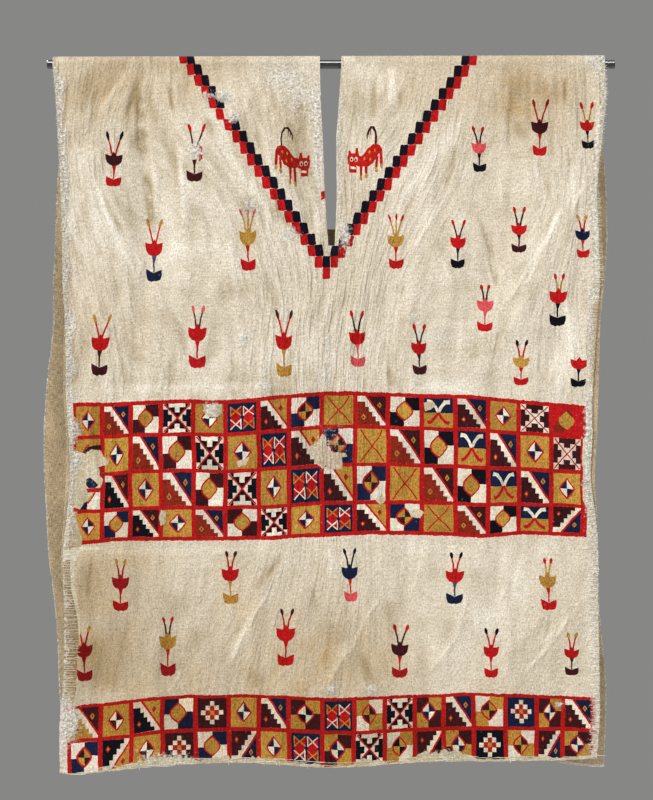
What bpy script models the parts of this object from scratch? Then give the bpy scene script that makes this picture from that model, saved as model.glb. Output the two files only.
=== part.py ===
"""A tapestry poncho hung over a rod: one long web with a neck slit, folded at the shoulders and lined inside.

The frame is in metres with +Z up.  The origin is the middle of the rod, and the front faces -Y.
The web and its lining are divided along the shoulder fold, so each has a front and a back.
"""

import math

import bmesh
import bpy

# Driving sizes
ROD_RADIUS = 0.0060
ROD_HALF_LENGTH = 0.3820
ROD_END_ROUND = 0.0008
ROD_GROOVE_FROM_END = 0.0085
ROD_GROOVE_WIDTH = 0.0018
ROD_GROOVE_DEPTH = 0.0010
ROD_SIDES = 24

WEB_THICKNESS = 0.0016
LINING_THICKNESS = 0.0010
ROD_CLEARANCE = 0.0003
LINING_CLEARANCE = 0.0004
SHOULDER_GAP = 0.0004
LINING_HEM_SHORTER = 0.0040

LINING_RADIUS = ROD_RADIUS + ROD_CLEARANCE + LINING_THICKNESS
WEB_RADIUS = LINING_RADIUS + LINING_CLEARANCE + WEB_THICKNESS

# How finely each panel is divided: columns in each half, rows over the rod, beside the slit and below it
HALF_COLUMNS = 11
SHOULDER_ROWS = 4
SLIT_ROWS = 8
BODY_ROWS = 20

# Relief of the hanging cloth, outwards from the plane that the rod sets
EASE = 0.0042
EASE_FROM_ROD = 0.060
BELLY = 0.0040
HEM_WAVE_LENGTH = 0.235
HEM_WAVE_STARTS = 0.560

MILLIMETRE = 0.001

# Outline sections in mm, from the rod down: how far the web reaches to each side of the middle, and how far
# the lining shows past the web's worn edge (below zero, it stops short of it)
FRONT_SECTIONS = [
    # below_rod, web_left, web_right, lining_past_left, lining_past_right
    (0, 374.0, 368.0, -2.0, -2.0),
    (48, 369.0, 368.5, -2.0, -2.0),
    (102, 366.0, 363.0, -2.0, -1.0),
    (169, 362.0, 359.0, -1.0, 1.0),
    (236, 360.0, 364.0, 0.0, -1.0),
    (296, 359.0, 365.0, 1.0, 1.0),
    (343, 356.0, 356.0, 1.5, 5.0),
    (397, 355.0, 353.0, 3.5, 6.5),
    (450, 355.0, 350.0, 3.5, 8.0),
    (504, 351.0, 350.0, 3.5, 6.5),
    (557, 350.0, 348.0, 5.5, 5.5),
    (611, 354.0, 355.0, 4.5, 2.0),
    (665, 360.0, 358.0, 2.0, -1.0),
    (718, 358.0, 358.0, 1.5, -1.0),
    (772, 357.0, 359.0, 1.0, -1.0),
    (825, 359.0, 360.0, 1.0, -1.0),
    (879, 364.0, 360.5, -1.0, -0.5),
    (955, 364.5, 355.0, -2.0, -0.5),
]
BACK_SECTIONS = [
    # below_rod, web_left, web_right, lining_past_left, lining_past_right
    (0, 372.0, 366.0, -1.5, -1.5),
    (48, 368.5, 366.0, -1.5, -1.5),
    (102, 367.0, 368.0, -1.5, -1.5),
    (169, 371.0, 372.5, -1.5, -1.5),
    (236, 373.5, 374.0, -1.5, -1.5),
    (296, 376.0, 370.0, -1.5, -1.5),
    (343, 376.0, 364.5, -1.5, -1.5),
    (397, 381.0, 363.0, -1.5, -1.5),
    (450, 386.5, 362.0, -1.5, -1.5),
    (504, 389.0, 358.5, -1.5, -1.5),
    (557, 388.0, 357.5, -1.5, -1.5),
    (611, 385.0, 360.5, -1.5, -1.5),
    (665, 382.0, 361.5, -1.5, -1.5),
    (718, 375.0, 362.0, -1.5, -1.5),
    (772, 370.0, 366.5, -1.5, -1.5),
    (825, 368.0, 371.5, -1.5, -1.5),
    (879, 365.0, 371.5, -1.5, -1.5),
    (955, 363.0, 368.0, -1.5, -1.5),
]

# Neck slit sections in mm, from the rod down: where its two edges lie
FRONT_SLIT = [
    # below_rod, slit_left, slit_right
    (0, -15.0, 14.0),
    (60, -13.4, 10.0),
    (100, -11.0, 7.2),
    (180, -8.0, 7.5),
    (245, -3.5, 5.0),
]
BACK_SLIT = [
    # below_rod, slit_left, slit_right
    (0, -16.5, 15.5),
    (60, -15.5, 13.0),
    (120, -13.5, 10.5),
    (180, -11.0, 10.0),
    (221, -8.0, 8.5),
]

# Hem in mm: how far it hangs below the rod at each place across
FRONT_HEM = [
    # across, drop
    (-364, 953.0),
    (-345, 955.0),
    (-230, 942.0),
    (-120, 939.0),
    (12, 944.0),
    (133, 937.5),
    (230, 935.5),
    (333, 935.0),
    (356, 931.5),
]
BACK_HEM = [
    # across, drop
    (-370, 944.0),
    (-200, 934.0),
    (0, 933.0),
    (190, 931.0),
    (270, 936.0),
    (340, 946.0),
    (370, 947.0),
]

# Soft folds in mm: the line each follows, its half width, and how far it stands out (below zero, a trough)
FRONT_FOLDS = [
    # from_across, from_below_rod, to_across, to_below_rod, half_width, height
    (-303, -10, -296, 440, 42, 4.2),
    (-252, -10, -236, 330, 30, -3.4),
    (-178, -10, -189, 450, 46, 3.4),
    (-60, -10, -75, 190, 34, 2.4),
    (75, -10, 62, 200, 34, 2.6),
    (160, 30, 133, 380, 44, 3.0),
    (214, 60, 222, 330, 32, -2.6),
    (347, 150, 226, 410, 34, 4.4),
    (-75, 640, -155, 850, 34, 3.8),
    (200, 650, 133, 860, 34, 3.2),
    (312, 670, 226, 860, 34, 3.2),
    (-290, 560, -270, 800, 44, 2.8),
]
BACK_FOLDS = [
    # from_across, from_below_rod, to_across, to_below_rod, half_width, height
    (-250, -10, -270, 560, 48, 4.0),
    (-120, -10, -95, 420, 40, -2.8),
    (90, -10, 120, 520, 48, 3.8),
    (240, 30, 215, 700, 42, 3.4),
    (-60, 480, -140, 860, 46, 3.8),
]
FRONT_HEM_WAVE = 0.0040
BACK_HEM_WAVE = 0.0046

CREAM = (0.68, 0.60, 0.46, 1.0)
TAN = (0.40, 0.30, 0.19, 1.0)
BLACK_GLOSS = (0.02, 0.02, 0.024, 1.0)


def smooth_step(start, end, value):
    """0 before start, 1 after end, and an even S between them."""
    share = min(1.0, max(0.0, (value - start) / (end - start)))
    return share * share * (3 - 2 * share)


def curve_at(table, column, place):
    """Reads one column of a table at a place on its first column, on a smooth curve through its rows."""
    last = len(table) - 1
    row = 0
    while row < last - 1 and place > table[row + 1][0]:
        row += 1
    before, start, end, after = (table[max(0, min(last, row + step))] for step in (-1, 0, 1, 2))
    span = end[0] - start[0]
    share = min(1.0, max(0.0, (place - start[0]) / span))
    slope_in = (end[column] - before[column]) / (end[0] - before[0]) * span
    slope_out = (after[column] - start[column]) / (after[0] - start[0]) * span
    square, cube = share * share, share * share * share
    return (
        (2 * cube - 3 * square + 1) * start[column]
        + (cube - 2 * square + share) * slope_in
        + (3 * square - 2 * cube) * end[column]
        + (cube - square) * slope_out
    )


def fold_height(fold, across, below):
    """How far one soft fold lifts the cloth at a place, all in mm."""
    from_across, from_below, to_across, to_below, half_width, height = fold
    run_across, run_below = to_across - from_across, to_below - from_below
    length = math.hypot(run_across, run_below)
    along = ((across - from_across) * run_across + (below - from_below) * run_below) / length
    aside = ((across - from_across) * run_below - (below - from_below) * run_across) / length
    ends = smooth_step(-0.10 * length, 0.22 * length, along) * smooth_step(
        1.10 * length, 0.70 * length, along
    )
    return height * ends * math.exp(-((aside / half_width) ** 2))


def over_rod(row, radius):
    """(outwards, upwards) of a row that bends over the rod, on flats that touch the round from outside."""
    if row == 0:
        return SHOULDER_GAP / 2, radius
    step = math.pi / 2 / (SHOULDER_ROWS - 1)
    turn = (row - 0.5) * step
    reach = radius / math.cos(step / 2)
    return reach * math.sin(turn), reach * math.cos(turn)


class Panel:
    """One side of the garment: its outline, slit, hem and folds, and which way it faces."""

    def __init__(self, facing, sections, slit, hem, folds, hem_wave):
        self.facing = facing
        self.sections = sections
        self.slit = slit
        self.hem = hem
        self.folds = folds
        self.hem_wave = hem_wave
        self.slit_share = slit[-1][0] / curve_at(hem, 1, 0.0)

    def relief(self, across, below):
        """How far the cloth stands out from the rod's plane, in metres."""
        if below <= 0:
            return 0.0
        freed = smooth_step(0.0, EASE_FROM_ROD, below)
        folds = sum(fold_height(fold, across / MILLIMETRE, below / MILLIMETRE) for fold in self.folds)
        belly = BELLY * math.sin(math.pi * min(1.0, below / curve_at(self.hem, 1, 0.0) / MILLIMETRE))
        wave = self.hem_wave * math.cos(2 * math.pi * across / HEM_WAVE_LENGTH)
        wave *= smooth_step(HEM_WAVE_STARTS, 1.0, below)
        return freed * (EASE + belly + folds * MILLIMETRE + wave)

    def column(self, index, below):
        """Where a column of the panel lies across, in metres, at a depth below the rod."""
        depth = max(0.0, below / MILLIMETRE)
        if index <= HALF_COLUMNS:
            edge, slit = -curve_at(self.sections, 1, depth), curve_at(self.slit, 1, depth)
            share = index / HALF_COLUMNS
            return (edge + (slit - edge) * share) * MILLIMETRE
        edge, slit = curve_at(self.sections, 2, depth), curve_at(self.slit, 2, depth)
        share = (index - HALF_COLUMNS - 1) / HALF_COLUMNS
        return (slit + (edge - slit) * share) * MILLIMETRE

    def drop_share(self, row):
        """Which share of the whole drop a row below the rod has come down."""
        row -= SHOULDER_ROWS
        if row <= SLIT_ROWS:
            return self.slit_share * max(0, row) / SLIT_ROWS
        return self.slit_share + (1 - self.slit_share) * (row - SLIT_ROWS) / BODY_ROWS

    def point(self, index, row):
        """(across, outwards, upwards) on the web's outer face, with the rod at zero."""
        if row < SHOULDER_ROWS:
            return self.column(index, 0.0), *over_rod(row, WEB_RADIUS)
        share = self.drop_share(row)
        middle = self.column(index, share * curve_at(self.hem, 1, 0.0) * MILLIMETRE)
        below = share * curve_at(self.hem, 1, middle / MILLIMETRE) * MILLIMETRE
        across = self.column(index, below)
        return across, WEB_RADIUS + self.relief(across, below), -below

    def lining_point(self, index, row):
        """The web's point moved in to the lining, and out at the edges as far as the lining shows there."""
        across, out, up = self.point(index, row)
        if row < SHOULDER_ROWS:
            out, up = over_rod(row, LINING_RADIUS)
        else:
            out -= WEB_RADIUS - LINING_RADIUS
        depth = max(0.0, -up / MILLIMETRE)
        if index == 0:
            across -= curve_at(self.sections, 3, depth) * MILLIMETRE
        if index == 2 * HALF_COLUMNS + 1:
            across += curve_at(self.sections, 4, depth) * MILLIMETRE
        if self.drop_share(row) == 1.0:
            up += LINING_HEM_SHORTER
        return across, out, up


def collection_named(name):
    made = bpy.data.collections.new(name)
    bpy.context.scene.collection.children.link(made)
    return made


def material(name, colour, roughness, metallic=0.0):
    made = bpy.data.materials.new(name)
    made.use_nodes = True
    shader = made.node_tree.nodes["Principled BSDF"]
    shader.inputs["Base Color"].default_value = colour
    shader.inputs["Roughness"].default_value = roughness
    shader.inputs["Metallic"].default_value = metallic
    return made


def cloth_wall(name, panel, place, thickness, finish, collection):
    """A grid hung on a panel's points, open at the slit, and thickened inwards."""
    columns = 2 * HALF_COLUMNS + 1
    rows = SHOULDER_ROWS + SLIT_ROWS + BODY_ROWS
    grid = bmesh.new()
    bmesh.ops.create_grid(grid, x_segments=columns, y_segments=rows, size=1.0)
    for vertex in grid.verts:
        index = round((vertex.co.x + 1) / 2 * columns)
        row = round((1 - vertex.co.y) / 2 * rows)
        across, out, up = place(index, row)
        vertex.co = (across, panel.facing * out, up)
    in_slit = SHOULDER_ROWS + SLIT_ROWS
    middle = [face for number, face in enumerate(grid.faces) if number % columns == HALF_COLUMNS]
    middle.sort(key=lambda face: -face.calc_center_median().z)
    bmesh.ops.delete(grid, geom=middle[:in_slit], context="FACES")
    if panel.facing > 0:
        bmesh.ops.reverse_faces(grid, faces=grid.faces[:])
    mesh = bpy.data.meshes.new(name)
    grid.to_mesh(mesh)
    grid.free()
    mesh.shade_smooth()
    mesh.materials.append(finish)
    wall = bpy.data.objects.new(name, mesh)
    collection.objects.link(wall)
    thicken = wall.modifiers.new("cloth thickness", "SOLIDIFY")
    thicken.thickness = thickness
    thicken.offset = -1.0
    thicken.use_even_offset = True
    return wall


def rod_profile():
    """(distance along the rod, radius) of the rod's outline, from its middle to the centre of one end."""
    groove = ROD_HALF_LENGTH - ROD_GROOVE_FROM_END
    half_groove = ROD_GROOVE_WIDTH / 2
    return [
        (0.0, ROD_RADIUS),
        (groove - half_groove, ROD_RADIUS),
        (groove - half_groove, ROD_RADIUS - ROD_GROOVE_DEPTH),
        (groove + half_groove, ROD_RADIUS - ROD_GROOVE_DEPTH),
        (groove + half_groove, ROD_RADIUS),
        (ROD_HALF_LENGTH - ROD_END_ROUND, ROD_RADIUS),
        (ROD_HALF_LENGTH, ROD_RADIUS - ROD_END_ROUND),
        (ROD_HALF_LENGTH, 0.0),
    ]


def hanging_rod(name, finish, collection):
    """The rod as a turned shape, with a shallow groove near each end for what it hangs by."""
    half = rod_profile()
    outline = [(-along, radius) for along, radius in reversed(half)] + half[1:]
    mesh = bpy.data.meshes.new(name)
    edges = [(number, number + 1) for number in range(len(outline) - 1)]
    mesh.from_pydata([(along, 0.0, radius) for along, radius in outline], edges, [])
    mesh.materials.append(finish)
    rod = bpy.data.objects.new(name, mesh)
    collection.objects.link(rod)
    turn = rod.modifiers.new("turned", "SCREW")
    turn.axis = "X"
    turn.steps = turn.render_steps = ROD_SIDES
    turn.use_merge_vertices = True
    turn.merge_threshold = 0.0001
    turn.use_smooth_shade = False
    turn.use_normal_calculate = True
    return rod


def build():
    for old in list(bpy.data.objects):
        bpy.data.objects.remove(old)
    garment = collection_named("hanging_poncho")
    cream = material("cream_web", CREAM, 0.92)
    tan = material("tan_lining", TAN, 0.95)
    black = material("black_rod", BLACK_GLOSS, 0.18)
    front = Panel(-1, FRONT_SECTIONS, FRONT_SLIT, FRONT_HEM, FRONT_FOLDS, FRONT_HEM_WAVE)
    back = Panel(1, BACK_SECTIONS, BACK_SLIT, BACK_HEM, BACK_FOLDS, BACK_HEM_WAVE)
    cloth_wall("front_web", front, front.point, WEB_THICKNESS, cream, garment)
    cloth_wall("front_lining", front, front.lining_point, LINING_THICKNESS, tan, garment)
    cloth_wall("back_lining", back, back.lining_point, LINING_THICKNESS, tan, garment)
    cloth_wall("back_web", back, back.point, WEB_THICKNESS, cream, garment)
    hanging_rod("rod", black, garment)


build()
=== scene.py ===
import math
import random

import bpy
import numpy as np
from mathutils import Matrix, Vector, noise
from mathutils.geometry import delaunay_2d_cdt


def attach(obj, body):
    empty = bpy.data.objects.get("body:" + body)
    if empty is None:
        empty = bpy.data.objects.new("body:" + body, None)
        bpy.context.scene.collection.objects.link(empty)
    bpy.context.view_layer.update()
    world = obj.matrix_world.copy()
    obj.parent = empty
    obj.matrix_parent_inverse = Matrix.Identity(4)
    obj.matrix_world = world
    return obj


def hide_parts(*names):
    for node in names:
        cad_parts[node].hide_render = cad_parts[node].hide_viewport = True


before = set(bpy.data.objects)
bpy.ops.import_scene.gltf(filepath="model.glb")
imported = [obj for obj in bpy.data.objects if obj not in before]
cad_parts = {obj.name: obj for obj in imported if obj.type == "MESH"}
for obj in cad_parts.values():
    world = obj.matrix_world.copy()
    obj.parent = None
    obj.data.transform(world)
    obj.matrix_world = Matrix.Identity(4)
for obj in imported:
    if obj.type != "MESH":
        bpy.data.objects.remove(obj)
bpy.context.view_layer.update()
scene = bpy.context.scene
mm = 0.001

# Drape of the cloth, in mm: the sizes and tables of the solids, with finer creases for the visual model
drapeValues = {
    "rodRadius": 6.0,
    "webThickness": 1.6,
    "liningThickness": 1.0,
    "rodClearance": 0.3,
    "liningClearance": 0.4,
    "liningHemShorter": 4.0,
    "ease": 4.2,
    "easeFromRod": 60.0,
    "belly": 4.0,
    "hemWaveLength": 235.0,
    "hemWaveStarts": 560.0,
    "hemWaveFull": 1000.0,
    "crumple": 2.6,
    "crumpleWide": 24.0,
    "crumpleLong": 80.0,
    "sharpness": 1.5,
    "crestStands": 2.2,
    "crestTilt": 0.0025,
    "foldStarts": -0.10,
    "foldFull": 0.22,
    "foldFades": 0.70,
    "foldEnds": 1.10,
    "crumpleSeed": 7.3,
    "crumpleFine": 0.45,
    "crumpleFiner": 2.1,
    "normalStep": 0.6,
    "backLiningPast": -1.5,
}
webRadius = (
    drapeValues["rodRadius"]
    + drapeValues["rodClearance"]
    + drapeValues["liningThickness"]
    + drapeValues["liningClearance"]
    + drapeValues["webThickness"]
)
liningInset = drapeValues["webThickness"] + drapeValues["liningClearance"]
crest = webRadius * math.pi / 2  # flat height of the shoulder line above the rod's side

frontSections = [
    # belowRod, webLeft, webRight, liningPastLeft, liningPastRight
    (0, 374.0, 368.0, -2.0, -2.0),
    (48, 369.0, 368.5, -2.0, -2.0),
    (102, 366.0, 363.0, -2.0, -1.0),
    (169, 362.0, 356.5, -1.0, 3.5),
    (236, 360.0, 358.5, 0.0, 4.5),
    (296, 359.0, 360.0, 1.0, 5.0),
    (343, 356.0, 356.0, 1.5, 5.0),
    (397, 355.0, 353.0, 3.5, 6.5),
    (450, 355.0, 350.0, 3.5, 8.0),
    (504, 351.0, 350.0, 3.5, 6.5),
    (557, 350.0, 348.0, 5.5, 5.5),
    (611, 354.0, 355.0, 4.5, 2.0),
    (665, 360.0, 358.0, 2.0, -1.0),
    (718, 358.0, 358.0, 1.5, -1.0),
    (772, 357.0, 359.0, 1.0, -1.0),
    (825, 359.0, 360.0, 1.0, -1.0),
    (879, 364.0, 360.5, -1.0, -0.5),
    (955, 364.5, 355.0, -2.0, -0.5),
]
backEdges = [
    # belowRod, webLeft, webRight
    (0, 372.0, 366.0),
    (48, 368.5, 366.0),
    (102, 367.0, 368.0),
    (169, 371.0, 372.5),
    (236, 373.5, 374.0),
    (296, 376.0, 370.0),
    (343, 376.0, 364.5),
    (397, 381.0, 363.0),
    (450, 386.5, 362.0),
    (504, 389.0, 358.5),
    (557, 388.0, 357.5),
    (611, 385.0, 360.5),
    (665, 382.0, 361.5),
    (718, 375.0, 362.0),
    (772, 370.0, 366.5),
    (825, 368.0, 371.5),
    (879, 365.0, 371.5),
    (955, 363.0, 368.0),
]
backPast = drapeValues["backLiningPast"]
backSections = [(*row, backPast, backPast) for row in backEdges]
frontSlit = [
    # belowRod, slitLeft, slitRight
    (0, -15.0, 14.0),
    (60, -13.4, 10.0),
    (100, -11.0, 7.2),
    (180, -8.0, 7.5),
    (245, -3.5, 5.0),
]
backSlit = [
    # belowRod, slitLeft, slitRight
    (0, -16.5, 15.5),
    (60, -15.5, 13.0),
    (120, -13.5, 10.5),
    (180, -11.0, 10.0),
    (221, -8.0, 8.5),
]
frontHem = [
    # across, drop
    (-364, 953.0),
    (-345, 955.0),
    (-230, 942.0),
    (-120, 939.0),
    (12, 944.0),
    (133, 937.5),
    (230, 935.5),
    (333, 935.0),
    (356, 931.5),
]
backHem = [
    # across, drop
    (-370, 944.0),
    (-200, 934.0),
    (0, 933.0),
    (190, 931.0),
    (270, 936.0),
    (340, 946.0),
    (370, 947.0),
]
frontFolds = [
    # fromAcross, fromBelow, toAcross, toBelow, halfWidth, height
    (-303, -10, -296, 440, 42, 4.2),
    (-252, -10, -236, 330, 30, -3.4),
    (-178, -10, -189, 450, 46, 3.4),
    (-60, -10, -75, 190, 34, 2.4),
    (75, -10, 62, 200, 34, 2.6),
    (160, 30, 133, 380, 44, 3.0),
    (214, 60, 222, 330, 32, -2.6),
    (347, 150, 226, 410, 34, 4.4),
    (-75, 640, -155, 850, 34, 3.8),
    (200, 650, 133, 860, 34, 3.2),
    (312, 670, 226, 860, 34, 3.2),
    (-290, 560, -270, 800, 44, 2.8),
]
backFolds = [
    # fromAcross, fromBelow, toAcross, toBelow, halfWidth, height
    (-250, -10, -270, 560, 48, 4.0),
    (-120, -10, -95, 420, 40, -2.8),
    (90, -10, 120, 520, 48, 3.8),
    (240, 30, 215, 700, 42, 3.4),
    (-60, 480, -140, 860, 46, 3.8),
]
frontCreases = [
    # fromAcross, fromBelow, toAcross, toBelow, halfWidth, height
    (-259, 12, -240, 224, 8, -1.7),
    (-275, 5, -304, 80, 6, 1.0),
    (-296, 140, -290, 245, 13, 1.4),
    (-232, 150, -215, 330, 10, -1.0),
    (-150, 20, -160, 230, 13, 1.0),
    (-100, 240, -120, 420, 12, 0.9),
    (-55, 130, -45, 250, 9, 0.8),
    (40, 20, 35, 150, 10, 0.8),
    (210, 212, 226, 322, 7, -1.6),
    (345, 160, 230, 385, 9, 1.5),
    (313, 202, 233, 330, 7, 1.1),
    (285, 215, 265, 300, 7, -1.0),
    (150, 200, 170, 300, 8, -0.9),
    (95, 270, 80, 400, 12, 0.9),
    (-66, 665, -124, 782, 8, 1.6),
    (27, 780, -15, 850, 8, 1.2),
    (141, 788, 118, 855, 8, 1.0),
    (182, 735, 144, 808, 9, 1.2),
    (290, 735, 224, 808, 9, 1.3),
    (-200, 700, -235, 800, 10, 1.0),
    (-288, 690, -312, 790, 9, 0.9),
    (60, 660, 30, 760, 10, 0.8),
]
backCreases = [
    # fromAcross, fromBelow, toAcross, toBelow, halfWidth, height
    (-300, 20, -282, 260, 9, -1.4),
    (-190, 40, -215, 300, 12, 1.2),
    (60, 60, 95, 330, 12, 1.1),
    (255, 120, 170, 390, 10, 1.4),
    (-40, 610, -95, 780, 9, 1.4),
    (150, 640, 95, 800, 9, 1.2),
    (300, 660, 240, 820, 9, 1.2),
]
front = {
    "facing": -1,
    "sections": frontSections,
    "slit": frontSlit,
    "hem": frontHem,
    "folds": frontFolds,
    "creases": frontCreases,
    "sharpCreases": [],
    "hemWave": 4.0,
}
back = {
    "facing": 1,
    "sections": backSections,
    "slit": backSlit,
    "hem": backHem,
    "folds": backFolds,
    "creases": backCreases,
    "sharpCreases": [],
    "hemWave": 4.6,
}


def smoothStep(start, end, value):
    share = np.clip((np.asarray(value, float) - start) / (end - start), 0.0, 1.0)
    return share * share * (3 - 2 * share)


def curveAt(table, column, place):  # one column of a table, on a smooth curve through its rows
    rows = np.array(table, float)
    place = np.asarray(place, float)
    last = len(rows) - 1
    row = np.searchsorted(rows[1:-1, 0], place)
    before, start, end, after = (rows[np.clip(row + step, 0, last)] for step in (-1, 0, 1, 2))
    span = end[..., 0] - start[..., 0]
    share = np.clip((place - start[..., 0]) / span, 0.0, 1.0)
    slopeIn = (end[..., column] - before[..., column]) / (end[..., 0] - before[..., 0]) * span
    slopeOut = (after[..., column] - start[..., column]) / (after[..., 0] - start[..., 0]) * span
    square, cube = share**2, share**3
    return (
        (2 * cube - 3 * square + 1) * start[..., column]
        + (cube - 2 * square + share) * slopeIn
        + (3 * square - 2 * cube) * end[..., column]
        + (cube - square) * slopeOut
    )


def foldHeight(fold, across, below):  # how far one soft fold lifts the cloth
    fromAcross, fromBelow, toAcross, toBelow, halfWidth, height = fold
    runAcross, runBelow = toAcross - fromAcross, toBelow - fromBelow
    length = math.hypot(runAcross, runBelow)
    along = ((across - fromAcross) * runAcross + (below - fromBelow) * runBelow) / length
    aside = ((across - fromAcross) * runBelow - (below - fromBelow) * runAcross) / length
    ends = smoothStep(drapeValues["foldStarts"] * length, drapeValues["foldFull"] * length, along)
    ends = ends * smoothStep(drapeValues["foldEnds"] * length, drapeValues["foldFades"] * length, along)
    return height * ends * np.exp(-((aside / halfWidth) ** 2))


def crumpleAt(across, below, seed):  # small uneven ripples running down the cloth
    wide, long = drapeValues["crumpleWide"], drapeValues["crumpleLong"]
    level = seed * drapeValues["crumpleSeed"]
    spots = [Vector((x, y, level)) for x, y in zip(np.ravel(across) / wide, np.ravel(below) / long)]
    share, finer = drapeValues["crumpleFine"], drapeValues["crumpleFiner"]
    return np.array([noise.noise(spot) + share * noise.noise(spot * finer) for spot in spots])


def reliefAt(side, across, below, fine):  # how far the cloth stands out from the rod's plane
    values = drapeValues
    lift = values["ease"] + sum(foldHeight(fold, across, below) for fold in side["folds"])
    drop = float(curveAt(side["hem"], 1, 0.0))
    lift = lift + values["belly"] * np.sin(np.pi * np.clip(below / drop, 0, 1))
    wave = side["hemWave"] * np.cos(2 * np.pi * across / values["hemWaveLength"])
    lift = lift + wave * smoothStep(values["hemWaveStarts"], values["hemWaveFull"], below)
    if fine:
        lift = lift + fine * sum(foldHeight(crease, across, below) for crease in side["creases"])
        lift = lift + fine * values["crumple"] * crumpleAt(across, below, side["facing"])
    if fine >= 1:
        sharp = sum(foldHeight(crease, across, below) for crease in side["sharpCreases"])
        lift = lift + values["sharpness"] * sharp
    return lift * smoothStep(0, values["easeFromRod"], below)


def drape(side, flat, inset=0.0, fine=1.0):  # flat points (across, up from the rod) to places in metres
    across, up = flat[:, 0], flat[:, 1]
    turn = np.clip(up, 0, None) / webRadius
    radius = webRadius - inset
    out = np.where(up >= 0, radius * np.cos(turn), radius + reliefAt(side, across, -up, fine))
    stands = (drapeValues["crestStands"] + across * drapeValues["crestTilt"]) * (inset < liningInset)
    high = np.where(up >= 0, (radius + stands) * np.sin(turn), up)
    return np.stack([across, side["facing"] * out, high], 1) * mm


def drapeNormals(side, flat, inset=0.0, fine=1.0):  # outward normals of the draped face
    step = drapeValues["normalStep"]
    dx = drape(side, flat + [step, 0], inset, fine) - drape(side, flat - [step, 0], inset, fine)
    dz = drape(side, flat + [0, step], inset, fine) - drape(side, flat - [0, step], inset, fine)
    normal = np.cross(dx, dz) * -side["facing"]
    return normal / np.linalg.norm(normal, axis=1)[:, None]


# Colours, as seen in even light
def srgb(red, green, blue):
    parts = [value / 255 for value in (red, green, blue)]
    return tuple(v / 12.92 if v <= 0.04045 else ((v + 0.055) / 1.055) ** 2.4 for v in parts)


palette = {
    "cream": srgb(217, 205, 184),
    "white": srgb(224, 213, 193),
    "bare": srgb(200, 185, 157),
    "gap": srgb(180, 164, 134),
    "rubbed": srgb(188, 162, 130),
    "pale": srgb(238, 232, 219),
    "red": srgb(178, 19, 21),
    "madder": srgb(167, 20, 18),
    "brick": srgb(154, 21, 26),
    "gold": srgb(178, 132, 56),
    "navy": srgb(18, 27, 54),
    "black": srgb(11, 10, 19),
    "ink": srgb(14, 13, 26),
    "maroon": srgb(57, 18, 21),
    "rust": srgb(132, 38, 22),
    "pink": srgb(206, 78, 82),
    "slate": srgb(62, 74, 96),
    "brown": srgb(62, 26, 20),
    "cat": srgb(174, 24, 18),
}

# Design: shapes laid over one another on a chart whose squares are 1.34 mm
chartValues = {"unit": 1.34, "middle": 331, "rodLine": 64}
design = []


def chart(across, down):
    unit = chartValues["unit"]
    return ((across - chartValues["middle"]) * unit, (chartValues["rodLine"] - down) * unit)


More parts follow.
